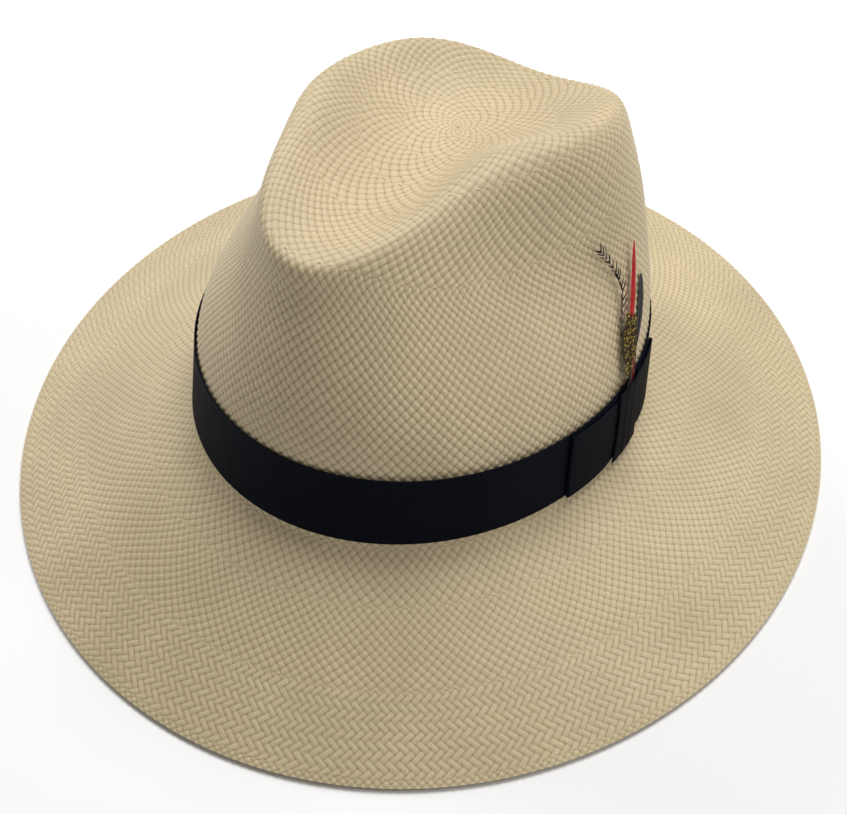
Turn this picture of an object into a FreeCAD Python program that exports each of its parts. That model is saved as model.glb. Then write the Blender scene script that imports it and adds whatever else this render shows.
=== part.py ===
"""Straw sun hat with a pinched crown, ribbon band with a side bow, and feathers.

Frame: +Z up, the rim lies in the plane Z = 0, the front of the hat is toward
-Y and the wearer's left (bow and feathers) is toward +X.  Millimetres.

The crown has a frame of its own, lifted and tipped front-up from the rim
plane.  A place on it is given by an angle, 0 at the front and 90 at the
wearer's left, a height above the foot of the crown and a stand-off.
"""
import FreeCAD, Part

import math
import os

import Sketcher
from FreeCAD import Placement, Rotation, Vector

DOC = FreeCAD.newDocument("sun_hat")

# ---------------------------------------------------------------- dimensions
SIZES = [
    ("rim_half_x", 163.0),        # rim ellipse, half width
    ("rim_half_y", 171.6),        # rim ellipse, half length
    ("crown_half_x", 85.0),       # foot of the crown outside, half width
    ("crown_half_y", 102.0),      # foot of the crown outside, half length
    ("crown_lift", 35.3),         # centre of the foot above the rim plane
    ("crown_tilt", 7.3),          # degrees, front up
    ("straw_wall", 1.6),
    ("rim_edge", 1.6),            # height of the rim's outer edge
    ("button_side", -8.0),        # and beside it, toward the wearer's right
    ("button_back", 29.0),        # weave's centre behind the crown's centre
    ("centre_height", 97.0),      # floor of the top dent
    ("shoulder_height", 80.0),
    ("dent_height", 60.0),
    ("lip_height", 44.0),
    ("shoulder_drop", 10.0),
    ("band_inner_x", 85.4),
    ("band_inner_y", 102.4),
    ("band_taper", 1.6),          # narrowing from the band's foot to its top
    ("band_foot", 2.6),
    ("band_top", 32.4),
    ("ribbon_thick", 0.6),
    ("sweat_outer_x", 82.9),
    ("sweat_outer_y", 99.9),
    ("sweat_lean", 3.4),          # narrowing over the sweatband's height
    ("sweat_foot", 1.6),
    ("sweat_top", 34.0),
    ("sweat_thick", 1.1),
    ("reed_half_x", 82.1),
    ("reed_half_y", 99.1),
    ("reed_radius", 0.8),
    ("reed_height", 0.7),
    ("stitch_count", 64.0),
    ("stitch_length", 3.4),
    ("stitch_wide", 0.45),
    ("stitch_proud", 0.3),
    ("inner_bow_span", 17.0),
    ("inner_bow_rise", 6.5),
    ("inner_bow_depth", 1.6),
    ("inner_bow_wall", 0.6),
    ("inner_knot_span", 3.2),
    ("inner_knot_rise", 4.0),
    ("inner_knot_depth", 2.4),
    ("binding_span", 5.3),
    ("binding_depth", 1.4),
    ("binding_length", 7.0),
    ("binding_wall", 0.3),
    ("quill_pitch", 1.1),
    ("quill_size", 0.6),
    ("vane_thick", 0.4),
    ("spray_angle", 93.5),        # where the quills leave the bow
    ("spray_height", 36.0),
    ("spray_stand", 1.6),
    ("spray_lean", 25.0),         # degrees toward the back
    ("spray_tuck", 15.0),         # length of quill behind the bow
]

SHEET = DOC.addObject("Spreadsheet::Sheet", "Sheet")
for row, (alias, value) in enumerate(SIZES, start=1):
    SHEET.set("A%d" % row, alias)
    SHEET.set("B%d" % row, "%g" % value)
    SHEET.setAlias("B%d" % row, alias)
DOC.recompute()


def size(alias):
    """Value of one dimension of the sheet."""
    return float(getattr(SHEET, alias))


NODES = []


def node(obj, label, placement=None):
    """Names an object as one sub-part of the hat and places it."""
    obj.Label = label
    if placement is not None:
        obj.Placement = placement
    NODES.append(obj)
    return obj


def crown_placement():
    """The crown's frame: lifted, and tipped front-up about X."""
    return Placement(Vector(0, 0, size("crown_lift")),
                     Rotation(Vector(1, 0, 0), -size("crown_tilt")))


# ------------------------------------------------------- form of the straw
ANGLES = (0, 22, 45, 68, 92, 118, 145, 180)   # from the front round to the back

# Share of the foot's radius, at each angle, on the wearer's left and right.
RIDGE = ((.80, .49, .335, .31, .37, .60, .77, .80),
         (.80, .77, .64, .58, .63, .72, .78, .80))
SHOULDER = ((.88, .74, .59, .54, .66, .86, .915, .92),
            (.88, .85, .77, .73, .78, .855, .90, .92))
DENT = ((.945, .885, .80, .78, .84, .925, .95, .955),
        (.945, .92, .88, .87, .895, .93, .95, .955))
LIP = ((.975, .955, .935, .93, .95, .97, .98, .98),
       (.975, .965, .96, .955, .96, .97, .98, .98))
# Height of the ridge above the foot of the crown.
RIDGE_HEIGHT = ((105, 107.5, 112, 114.5, 116, 115.5, 108.5, 95),
                (105, 108, 111, 113, 113, 109.5, 106, 95))
# Brim rows: share of the way from the foot to the rim, and rise of the sag.
BRIM_ROWS = ((0.02, 0.0), (0.10, 0.5), (0.33, 1.5), (0.62, 1.0), (0.86, 0.0), (1.0, 0.0))
COLUMNS = 36


def periodic_spline(values):
    """Smooth closed curve of one value round the hat.

    Takes the pair (left, right) of values at ANGLES and returns a function
    of the angle in degrees, positive on the wearer's left.
    """
    left, right = values
    knots = [-a for a in ANGLES[:0:-1]] + list(ANGLES)
    vals = list(right[:0:-1]) + list(left)
    curve = Part.BSplineCurve()
    pts = [Vector(math.radians(a), v, 0) for a, v in zip(knots, vals)]
    # one turn more on each side keeps the slope the same where it closes
    turn = 2 * math.pi
    before = [Vector(p.x - turn, p.y, 0) for p in pts[-4:-1]]
    after = [Vector(p.x + turn, p.y, 0) for p in pts[1:4]]
    run = before + pts + after
    curve.interpolate(Points=run, Parameters=[p.x for p in run])

    def value(angle):
        """Value of the curve at an angle in degrees."""
        wrapped = (angle + 180.0) % 360.0 - 180.0
        return curve.value(math.radians(wrapped)).y

    return value


def crown_point(x, y, z):
    """A point of the crown's frame in the hat's frame."""
    return crown_placement().multVec(Vector(x, y, z))


def form_rows():
    """Control rows of the straw's outer face, from the weave's centre out.

    Each row is a list of COLUMNS points in the hat's frame.
    """
    ridge, shoulder, dent, lip, top = [
        periodic_spline(v) for v in (RIDGE, SHOULDER, DENT, LIP, RIDGE_HEIGHT)]
    floor = size("centre_height")
    side, back = size("button_side"), size("button_back")
    step = 2 * math.pi / COLUMNS
    swell = 1 / (1 - (1 - math.cos(step)) / 3)   # a closed cubic runs inside its net
    rows = [[] for _ in range(14)]
    for j in range(COLUMNS):
        deg = 360.0 * j / COLUMNS
        r, s, d, l, t = ridge(deg), shoulder(deg), dent(deg), lip(deg), top(deg)
        section = (
            (0.03, floor, 1),
            (0.13, floor + 0.3, 1),
            (0.42 * r, floor + 0.10 * (t - floor), 0.75),
            (0.74 * r, floor + 0.60 * (t - floor), 0.4),
            (r - 0.035, t + 1.0, 0.1),
            (r + 0.055, t + 0.5, 0),
            (0.45 * r + 0.55 * s, t - size("shoulder_drop"), 0),
            (s, size("shoulder_height"), 0),
            (d, size("dent_height"), 0),
            (l, size("lip_height"), 0),
            (0.985, 30, 0),
            (0.9965, 14, 0),
            (0.9995, 6, 0),
            (1.0, 1.5, 0),
        )
        a = math.radians(deg)
        for row, (share, height, shift) in zip(rows, section):
            row.append(crown_point(
                share * swell * size("crown_half_x") * math.sin(a) + shift * side,
                -share * swell * size("crown_half_y") * math.cos(a) + shift * back,
                height))
    for share, sag in BRIM_ROWS:
        rows.append(brim_row(share, sag, swell))
    return rows


def brim_row(share, sag, swell):
    """One control row of the brim's upper face."""
    row = []
    for j in range(COLUMNS):
        a = 2 * math.pi * j / COLUMNS
        foot = crown_point(swell * size("crown_half_x") * math.sin(a),
                           -swell * size("crown_half_y") * math.cos(a), -1.0)
        rim = Vector(swell * size("rim_half_x") * math.sin(a),
                     -swell * size("rim_half_y") * math.cos(a), size("rim_edge"))
        row.append(foot * (1 - share) + rim * share + Vector(0, 0, sag))
    return row


def net_surface(rows):
    """Cubic surface over control rows, open along them and closed round."""
    spans = len(rows) - 3
    surface = Part.BSplineSurface()
    surface.buildFromPolesMultsKnots(
        rows,
        [4] + [1] * (spans - 1) + [4], [1] * (COLUMNS + 1),
        [i / spans for i in range(spans + 1)], list(range(COLUMNS + 1)),
        False, True, 3, 3)
    return surface


def first_column(surface, rows):
    """Parameter round the hat that belongs to the front column."""
    last = rows[-1]
    aim = (last[-1] + last[0] * 4 + last[1]) * (1 / 6)
    return min(range(COLUMNS), key=lambda k: surface.value(1.0, k).distanceToPoint(aim))


def greville(count):
    """Parameters that belong to the rows of an open cubic net."""
    spans = count - 3
    knots = [0.0] * 3 + [i / spans for i in range(spans + 1)] + [1.0] * 3
    return [sum(knots[i + 1:i + 4]) / 3 for i in range(count)]


OUTER_ROWS = form_rows()
OUTER = net_surface(OUTER_ROWS)
FRONT = first_column(OUTER, OUTER_ROWS)
SIGN = 1.0 if OUTER.normal(0.97, FRONT).z > 0 else -1.0


def inner_rows():
    """Control rows of the straw's inner face and the brim's underside."""
    wall = size("straw_wall")
    plane_normal = crown_placement().Rotation.multVec(Vector(0, 0, 1))
    places = greville(len(OUTER_ROWS))
    rows = []
    for i, outer_row in enumerate(OUTER_ROWS[:-1]):
        row = []
        for j, pole in enumerate(outer_row):
            if i == 0:
                normal = plane_normal
            else:
                normal = OUTER.normal(places[i], (FRONT + j) % COLUMNS) * SIGN
            row.append(pole - normal * wall)
        rows.append(row)
    swell = 1 / (1 - (1 - math.cos(2 * math.pi / COLUMNS)) / 3)
    for share in (0.93, 0.965):
        row = brim_row(share, 0.0, swell)
        drop = 0.55 if share < 0.95 else 0.0
        rows.append([Vector(p.x, p.y, (p.z - size("rim_edge")) * drop) for p in row])
    return rows


def boundary(face, height):
    """Closed edge of a face whose centre is nearest to a height."""
    closed = [e for e in face.Edges if e.isClosed() and not e.isSeam(face)]
    return min(closed, key=lambda e: abs(e.CenterOfMass.z - height))


def straw_solid():
    """Closed shell of the whole hood, with its rim ring in the rim plane."""
    inner = inner_rows()
    upper = OUTER.toShape()
    under = net_surface(inner).toShape()
    centre = OUTER_ROWS[0][0].z
    upper_mouth = boundary(upper, centre)
    under_mouth = boundary(under, centre)
    upper_rim = boundary(upper, size("rim_edge"))
    under_rim = boundary(under, 0.0)
    wall = upper_rim.extrude(Vector(0, 0, -size("rim_edge")))
    foot = min((e for e in wall.Edges if e.isClosed()), key=lambda e: e.CenterOfMass.z)
    ring = Part.makeFace([Part.Wire([foot]), Part.Wire([under_rim])],
                         "Part::FaceMakerBullseye")
    faces = [upper, under, Part.Face(Part.Wire([upper_mouth])),
             Part.Face(Part.Wire([under_mouth])), wall, ring]
    shell = Part.Shell(Part.Compound(faces).Faces)
    shell.sewShape(1e-4)
    solid = Part.Solid(shell)
    if solid.Volume < 0:
        solid.reverse()
    return solid


STRAW = DOC.addObject("Part::Feature", "StrawBody")
STRAW.Shape = straw_solid()
node(STRAW, "straw_body")


# ------------------------------------------------ elliptical bands and cord
def ellipse(name, major, minor, height):
    """Ellipse with its long axis along Y; sizes are sheet expressions."""
    obj = DOC.addObject("Part::Ellipse", name)
    obj.setExpression("MajorRadius", major)
    obj.setExpression("MinorRadius", minor)
    obj.Placement = Placement(Vector(0, 0, 0), Rotation(Vector(0, 0, 1), 90))
    obj.setExpression(".Placement.Base.z", height)
    return obj


def cone_ring(label, foot_x, foot_y, narrowing, foot, top, thick):
    """Band between two elliptical cones, narrowing upward."""
    shells = []
    for side, grow in (("Out", "0 mm"), ("In", thick)):
        low = ellipse(label + side + "Low", "%s - %s" % (foot_y, grow),
                      "%s - %s" % (foot_x, grow), foot)
        high = ellipse(label + side + "High", "%s - %s - %s" % (foot_y, narrowing, grow),
                       "%s - %s - %s" % (foot_x, narrowing, grow), top)
        loft = DOC.addObject("Part::Loft", label + side)
        loft.Sections = [low, high]
        loft.Solid = True
        loft.Ruled = True
        shells.append(loft)
    cut = DOC.addObject("Part::Cut", label + "Ring")
    cut.Base, cut.Tool = shells
    return cut


def mm(alias):
    """Sheet cell as a length expression."""
    return "Sheet.%s * 1 mm" % alias


BAND = cone_ring("Band", "(Sheet.band_inner_x + Sheet.ribbon_thick) * 1 mm",
                 "(Sheet.band_inner_y + Sheet.ribbon_thick) * 1 mm",
                 mm("band_taper"), mm("band_foot"), mm("band_top"), mm("ribbon_thick"))
node(BAND, "hat_band", crown_placement())

SWEAT = cone_ring("Sweat", mm("sweat_outer_x"), mm("sweat_outer_y"),
                  mm("sweat_lean"), mm("sweat_foot"), mm("sweat_top"), mm("sweat_thick"))
node(SWEAT, "sweatband", crown_placement())

REED_PATH = ellipse("ReedPath", mm("reed_half_y"), mm("reed_half_x"), mm("reed_height"))
REED_ROUND = DOC.addObject("Part::Circle", "ReedRound")
REED_ROUND.setExpression("Radius", mm("reed_radius"))
REED_ROUND.Placement = Placement(Vector(0, 0, 0), Rotation(Vector(0, 1, 0), 90))
REED_ROUND.setExpression(".Placement.Base.y", mm("reed_half_y"))
REED_ROUND.setExpression(".Placement.Base.z", mm("reed_height"))
REED = DOC.addObject("Part::Sweep", "Reed")
REED.Sections = [REED_ROUND]
REED.Spine = (REED_PATH, ["Edge1"])
REED.Solid = True
REED.Frenet = False
node(REED, "sweatband_reed", crown_placement())


def sweat_face(angle, height):
    """Point, outward direction and tangent on the sweatband's inner face."""
    share = (height - size("sweat_foot")) / (size("sweat_top") - size("sweat_foot"))
    shrink = size("sweat_lean") * share + size("sweat_thick")
    a, b = size("sweat_outer_x") - shrink, size("sweat_outer_y") - shrink
    s, c = math.sin(math.radians(angle)), math.cos(math.radians(angle))
    out = Vector(s / a, -c / b, 0).normalize()
    along = Vector(a * c, b * s, 0).normalize()
    return Vector(a * s, -b * c, height), out, along


def stitches():
    """Stitches along the sweatband's foot, standing on its inner face."""
    solids = []
    count = int(size("stitch_count"))
    length, wide, proud = size("stitch_length"), size("stitch_wide"), size("stitch_proud")
    for k in range(count):
        point, out, along = sweat_face(360.0 * (k + 0.5) / count, 4.2)
        box = Part.makeBox(length, proud, wide, Vector(-length / 2, 0, -wide / 2))
        inward = out * -1
        turn = Rotation(along, inward, along.cross(inward), "XYZ")
        box.Placement = Placement(point + inward * 0.12, turn)
        solids.append(box)
    return Part.Compound(solids)


STITCHES = DOC.addObject("Part::Feature", "Stitches")
STITCHES.Shape = stitches()
node(STITCHES, "sweatband_stitches", crown_placement())


def fused(name, pieces):
    """Fusion of several objects."""
    fuse = DOC.addObject("Part::MultiFuse", name)
    fuse.Shapes = pieces
    return fuse


def loop(name, side):
    """One flat loop of the small inner bow, an elliptical ring."""
    parts = []
    for suffix, less in (("Out", "0 mm"), ("In", "Sheet.inner_bow_wall * 1 mm")):
        edge = DOC.addObject("Part::Ellipse", name + suffix)
        edge.setExpression("MajorRadius", "Sheet.inner_bow_span / 4 * 1 mm + 0.3 mm - " + less)
        edge.setExpression("MinorRadius", "Sheet.inner_bow_depth / 2 * 1 mm + 0.25 mm - " + less)
        edge.setExpression(".Placement.Base.x", "%s * Sheet.inner_bow_span / 4 * 1 mm" % side)
        solid = DOC.addObject("Part::Extrusion", name + suffix + "Solid")
        solid.Base = edge
        solid.DirMode = "Custom"
        solid.Dir = Vector(0, 0, 1)
        solid.setExpression("LengthFwd", mm("inner_bow_rise"))
        solid.Solid = True
        parts.append(solid)
    ring = DOC.addObject("Part::Cut", name)
    ring.Base, ring.Tool = parts
    return ring


INNER_KNOT = DOC.addObject("Part::Box", "InnerKnot")
INNER_KNOT.setExpression("Length", mm("inner_knot_span"))
INNER_KNOT.setExpression("Width", mm("inner_knot_depth"))
INNER_KNOT.setExpression("Height", mm("inner_knot_rise"))
INNER_KNOT.setExpression(".Placement.Base.x", "-Sheet.inner_knot_span / 2 * 1 mm")
INNER_KNOT.setExpression(".Placement.Base.y", "-Sheet.inner_knot_depth / 2 * 1 mm")
INNER_KNOT.setExpression(".Placement.Base.z",
                         "(Sheet.inner_bow_rise - Sheet.inner_knot_rise) / 2 * 1 mm")
INNER_BOW = fused("InnerBow", [loop("LoopRight", "1"), loop("LoopLeft", "-1"), INNER_KNOT])


def inner_bow_placement():
    """Against the sweatband's inner face at the centre back."""
    point, out, along = sweat_face(180.0, 6.0)
    gap = size("inner_knot_depth") / 2 + 0.75
    local = Placement(point - out * gap, Rotation())
    return crown_placement().multiply(local)


node(INNER_BOW, "sweatband_bow", inner_bow_placement())


# ------------------------------------------------------------ side bow
def band_point(angle, height, stand):
    """Point at a stand-off from the band's inner face, in the crown's frame."""
    shrink = size("band_taper") * (height - size("band_foot")) / (
        size("band_top") - size("band_foot"))
    a, b = size("band_inner_x") - shrink, size("band_inner_y") - shrink
    s, c = math.sin(math.radians(angle)), math.cos(math.radians(angle))
    out = Vector(s / a, -c / b, 0).normalize()
    return Vector(a * s, -b * c, height) + out * stand


def strip_wire(path, height):
    """Closed outline of a strip seen from above, at one height.

    path holds two lists of (angle, stand-off), the strip's two faces.
    """
    curves = []
    for side in path:
        curve = Part.BSplineCurve()
        curve.interpolate([band_point(a, height, n) for a, n in side])
        curves.append(curve.toShape())
    first, second = curves
    ends = [Part.LineSegment(first.Vertexes[-1].Point, second.Vertexes[0].Point).toShape(),
            Part.LineSegment(second.Vertexes[-1].Point, first.Vertexes[0].Point).toShape()]
    return Part.Wire([first, ends[0], second, ends[1]])


def strip_solid(path, low, high):
    """Strip of ribbon that stands on edge between two heights."""
    solid = Part.makeLoft([strip_wire(path, low), strip_wire(path, high)], True, True)
    if solid.Volume < 0:
        solid.reverse()
    return solid


def folded_path(start, fold, near, far, swell=0.0, lift=None):
    """Faces of a ribbon doubled back on itself.

    start and fold are angles; near and far the stand-offs of the inner
    leaf's under face and the outer leaf's upper face.  swell puffs the outer
    leaf, and lift raises the inner leaf at the open end.
    """
    thick = size("ribbon_thick")
    degree = 1.75                                  # about one degree, in mm
    way = 1.0 if fold > start else -1.0
    faces = []
    for inset in (0.0, thick):
        lo, hi = near + inset, far - inset
        radius = (hi - lo) / 2
        mid = (hi + lo) / 2
        turn = fold - way * (far - near) / 2 / degree
        leaf = []
        for k in range(7):
            f = k / 7
            up = (lift or 0.0) * max(0.0, 1 - 2.4 * f) ** 2
            leaf.append((start + (turn - start) * f, lo + up))
        bend = [(turn + way * radius / degree * math.cos(math.radians(q)),
                 mid + radius * math.sin(math.radians(q)))
                for q in (-90, -60, -30, 0, 30, 60, 90)]
        back = []
        for k in range(1, 8):
            f = k / 7
            puff = swell * math.sin(math.pi * f)
            back.append((turn + (start - turn) * f, hi + puff + (lift or 0.0) * 0.25 * f ** 2))
        faces.append(leaf + bend + back)
    return faces[0], faces[1][::-1]


FRONT_LOOP = DOC.addObject("Part::Feature", "FrontLoop")
FRONT_LOOP.Shape = strip_solid(
    folded_path(87.3, 70.0, size("ribbon_thick") + 0.15, 2.35, swell=0.2), 2.6, 32.2)
node(FRONT_LOOP, "bow_front_loop", crown_placement())


def knot_path():
    """Faces of the crosswise wrap, crowned outward and curled at its edges."""
    under = [(85.6 + 11.2 * k / 8, 2.58) for k in range(9)]
    over = []
    for k in range(9):
        f = k / 8
        over.append((96.8 - 11.2 * f, 3.15 + 0.55 * math.sin(math.pi * f) ** 0.6))
    return under, over


KNOT = DOC.addObject("Part::Feature", "BowKnot")
KNOT.Shape = strip_solid(knot_path(), 1.6, 35.0)
node(KNOT, "bow_knot", crown_placement())


REAR_LOOP = DOC.addObject("Part::Feature", "RearLoop")
REAR_LOOP.Shape = strip_solid(
    folded_path(97.3, 109.0, size("ribbon_thick") + 0.22, 2.2, swell=0.1), 2.6, 32.2)
node(REAR_LOOP, "bow_rear_loop", crown_placement())


# ------------------------------------------------------------ feather spray
def wall_point(angle, height, stand):
    """Point at a stand-off from the straw's outer face, in the crown's frame."""
    round_hat = (FRONT + angle / 10.0) % COLUMNS
    back = crown_placement().inverse()
    low, high = 0.28, 0.76
    for _ in range(40):
        mid = (low + high) / 2
        if back.multVec(OUTER.value(mid, round_hat)).z > height:
            low = mid
        else:
            high = mid
    normal = OUTER.normal(low, round_hat) * SIGN
    point = OUTER.value(low, round_hat) + normal * stand
    return back.multVec(point), back.Rotation.multVec(normal)


EXIT = band_point(size("spray_angle"), size("spray_height"), size("spray_stand"))
EXIT_OUT = (band_point(size("spray_angle"), size("spray_height"), 5.0) - EXIT).normalize()


def spray_axes():
    """Direction that the spray slides in, and the one across its quills."""
    level = Vector(-EXIT_OUT.y, EXIT_OUT.x, 0).normalize()
    slope = size("band_taper") / (size("band_top") - size("band_foot"))
    rise = (Vector(0, 0, 1) - EXIT_OUT * slope).normalize()
    lean = math.radians(size("spray_lean"))
    slide = (rise * math.cos(lean) + level * math.sin(lean)).normalize()
    across = EXIT_OUT.cross(slide).normalize() * -1
    return slide, across


SLIDE, ACROSS = spray_axes()


def feather(offset, stations):
    """Solid of one feather: its quill in the tuck, then its vane.

    offset is the quill's place across the tuck.  stations are (angle, height,
    stand-off, width, thickness) up the crown's wall.
    """
    quill = size("quill_size")
    root = EXIT + ACROSS * (offset * size("quill_pitch"))
    spine = [(root - SLIDE * (size("spray_tuck") * f), quill, quill, EXIT_OUT)
             for f in (1.0, 0.5, 0.0)]
    for angle, height, stand, width, thick in stations:
        point, out = wall_point(angle, height, stand)
        spine.append((point, width, thick, out))
    wires = []
    for i, (point, width, thick, out) in enumerate(spine):
        before = spine[max(i - 1, 0)][0]
        after = spine[min(i + 1, len(spine) - 1)][0]
        along = (after - before).normalize()
        across = out.cross(along).normalize()
        up = along.cross(across).normalize()
        corners = [point + across * (sx * width / 2) + up * (sy * thick / 2)
                   for sx, sy in ((-1, -1), (1, -1), (1, 1), (-1, 1))]
        wires.append(Part.makePolygon(corners + corners[:1]))
    solid = Part.makeLoft(wires, True, True)
    if solid.Volume < 0:
        solid.reverse()
    return solid


VANE = size("vane_thick")
FEATHERS = (
    ("feather_curl", -1.5, (
        (91.9, 42, 1.2, 0.6, 0.6), (92.9, 48, 1.2, 0.7, 0.6), (94.8, 53.5, 1.4, 0.7, 0.6),
        (97.6, 58.5, 1.8, 0.7, 0.6), (99.9, 63.5, 2.2, 0.7, 0.6), (100.2, 69.3, 2.5, 0.6, 0.5),
        (99.3, 74.8, 2.7, 0.6, 0.5), (98.0, 80.0, 2.8, 0.5, 0.4))),
    ("feather_mottled", -0.5, (
        (93.1, 37.4, 2.9, 1.0, 0.4), (92.7, 39.4, 3.0, 5.8, VANE), (93.6, 42, 3.05, 8.6, VANE),
        (95.2, 46, 3.0, 8.6, VANE), (97.2, 49.5, 2.85, 6.0, VANE), (98.9, 52.5, 2.7, 1.0, VANE))),
    ("feather_red", 0.5, (
        (95.6, 41, 1.9, 0.7, 0.5), (96.6, 45.5, 1.85, 1.6, VANE), (98.0, 50.5, 1.85, 3.2, VANE),
        (102.4, 58, 2.1, 3.6, VANE), (106.4, 66, 2.4, 3.0, VANE), (109.0, 72, 2.5, 1.6, VANE),
        (110.3, 75, 2.5, 0.5, VANE))),
    ("feather_black", 1.5, (
        (97.4, 40.5, 1.5, 0.7, 0.5), (99.6, 43, 1.2, 3.0, VANE), (102.8, 47, 1.0, 4.8, VANE),
        (105.8, 51.5, 1.0, 4.6, VANE), (108.4, 56, 1.0, 3.0, VANE), (110.2, 60, 1.0, 0.7, VANE))),
)
for feather_label, feather_offset, feather_stations in FEATHERS:
    part = DOC.addObject("Part::Feature", feather_label.title().replace("_", ""))
    part.Shape = feather(feather_offset, feather_stations)
    node(part, feather_label, crown_placement())


def rectangle(sketch, width, height):
    """Rectangle centred on the sketch's origin, bound to sheet expressions."""
    first = sketch.GeometryCount
    corners = [Vector(-1, -1, 0), Vector(1, -1, 0), Vector(1, 1, 0), Vector(-1, 1, 0)]
    for i in range(4):
        sketch.addGeometry(Part.LineSegment(corners[i], corners[(i + 1) % 4]), False)
    for i in range(4):
        sketch.addConstraint(Sketcher.Constraint(
            "Coincident", first + i, 2, first + (i + 1) % 4, 1))
    for i in (0, 2):
        sketch.addConstraint(Sketcher.Constraint("Horizontal", first + i))
        sketch.addConstraint(Sketcher.Constraint("Vertical", first + i + 1))
    sketch.addConstraint(Sketcher.Constraint("Symmetric", first, 1, first + 2, 1, -1, 1))
    for kind, line, expression in (("DistanceX", first, width), ("DistanceY", first + 1, height)):
        index = sketch.addConstraint(Sketcher.Constraint(kind, line, 1, line, 2, 2.0))
        sketch.setExpression("Constraints[%d]" % index, expression)


BINDING = DOC.addObject("PartDesign::Body", "Binding")
BINDING_SKETCH = BINDING.newObject("Sketcher::SketchObject", "BindingSketch")
BINDING_PLANE = [f for f in BINDING.Origin.OriginFeatures if f.Role == "XY_Plane"][0]
BINDING_SKETCH.AttachmentSupport = [(BINDING_PLANE, "")]
BINDING_SKETCH.MapMode = "FlatFace"
rectangle(BINDING_SKETCH, mm("binding_span"), mm("binding_depth"))
rectangle(BINDING_SKETCH, "(Sheet.binding_span - 2 * Sheet.binding_wall) * 1 mm",
          "(Sheet.binding_depth - 2 * Sheet.binding_wall) * 1 mm")
BINDING_PAD = BINDING.newObject("PartDesign::Pad", "BindingPad")
BINDING_PAD.Profile = BINDING_SKETCH
BINDING_PAD.setExpression("Length", mm("binding_length"))
BINDING.Tip = BINDING_PAD
BINDING_LOCAL = Placement(EXIT - SLIDE * 11.0, Rotation(ACROSS, SLIDE.cross(ACROSS), SLIDE, "XYZ"))
node(BINDING, "feather_binding", crown_placement().multiply(BINDING_LOCAL))

# ------------------------------------------------------------------- write
DOC.recompute()

for obj in DOC.Objects:
    bad = [flag for flag in obj.State if flag in ("Invalid", "Error")]
    if bad:
        raise RuntimeError("%s is %s" % (obj.Name, bad))
for obj in NODES:
    if obj.Shape.isNull() or not obj.Shape.isValid():
        raise RuntimeError("%s has no valid shape" % obj.Label)
    if not obj.Shape.Solids or min(s.Volume for s in obj.Shape.Solids) <= 0:
        raise RuntimeError("%s is not solid" % obj.Label)

os.makedirs("parts", exist_ok=True)
for obj in NODES:
    obj.Shape.exportStep("parts/%s.step" % obj.Label)

SLIDE_HAT = crown_placement().Rotation.multVec(SLIDE)
EXIT_HAT = crown_placement().multVec(EXIT)
print("slide direction", [round(v, 4) for v in SLIDE_HAT])
print("quills leave the bow at", [round(v, 2) for v in EXIT_HAT])
for obj in NODES:
    box = obj.Shape.BoundBox
    print("%-20s %9.1f mm3  x %.1f..%.1f  y %.1f..%.1f  z %.1f..%.1f" % (
        obj.Label, sum(s.Volume for s in obj.Shape.Solids),
        box.XMin, box.XMax, box.YMin, box.YMax, box.ZMin, box.ZMax))
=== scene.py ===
"""Straw sun hat: woven hood, ribbon band with its side bow, feathers and sweatband.

Everything is in metres in the hat's own frame: +Z up, front toward -Y, the
wearer's left toward +X.  The crown has a frame of its own, lifted and tipped
front-up; a place on it is an angle (0 front, 90 wearer's left), a height
above the crown's foot and a stand-off.
"""

import logging
import math
from dataclasses import dataclass, field
from enum import Enum
from typing import Callable, Sequence

import bpy
import numpy as np
from mathutils import Matrix, Vector

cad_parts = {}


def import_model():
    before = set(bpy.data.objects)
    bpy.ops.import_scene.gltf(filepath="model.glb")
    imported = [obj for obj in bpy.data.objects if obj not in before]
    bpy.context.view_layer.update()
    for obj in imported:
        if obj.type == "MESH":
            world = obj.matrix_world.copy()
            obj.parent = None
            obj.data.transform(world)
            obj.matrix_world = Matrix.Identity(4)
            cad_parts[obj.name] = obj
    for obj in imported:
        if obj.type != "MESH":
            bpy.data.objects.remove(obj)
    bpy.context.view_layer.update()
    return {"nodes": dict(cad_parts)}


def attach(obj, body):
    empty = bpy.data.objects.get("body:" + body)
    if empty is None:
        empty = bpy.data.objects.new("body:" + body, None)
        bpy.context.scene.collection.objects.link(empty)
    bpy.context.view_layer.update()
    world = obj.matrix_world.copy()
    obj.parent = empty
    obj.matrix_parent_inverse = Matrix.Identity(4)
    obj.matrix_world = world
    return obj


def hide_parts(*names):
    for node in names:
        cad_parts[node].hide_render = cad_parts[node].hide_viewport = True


LOG = logging.getLogger("sun_hat")
MM = 0.001
ROOT = "hat"
SPRAY = "feather_spray"

Colour = tuple[float, float, float]
Stops = Sequence[tuple[float, Colour]]
Values = tuple[float, ...]


# ------------------------------------------------------------------ helpers
def new_piece(name: str, points: np.ndarray, faces: Sequence[Sequence[int]]) -> bpy.types.Object:
    """Makes a mesh object that sits at the origin.

    Args:
        name: the piece's name.
        points: its vertices in metres, one row each.
        faces: vertex numbers of each face.

    Returns:
        The new object, linked to the scene.
    """
    mesh = bpy.data.meshes.new(name)
    mesh.from_pydata([tuple(p) for p in points], [], [tuple(int(i) for i in f) for f in faces])
    mesh.update()
    piece = bpy.data.objects.new(name, mesh)
    bpy.context.scene.collection.objects.link(piece)
    return piece


def shade_smooth(piece: bpy.types.Object) -> None:
    """Shades every face of a piece smooth."""
    piece.data.polygons.foreach_set("use_smooth", [True] * len(piece.data.polygons))


def clear_selection() -> None:
    """Leaves nothing selected, so that an operator acts on one piece only."""
    if bpy.context.mode != "OBJECT":
        bpy.ops.object.mode_set(mode="OBJECT")
    bpy.ops.object.select_all(action="DESELECT")


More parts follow.
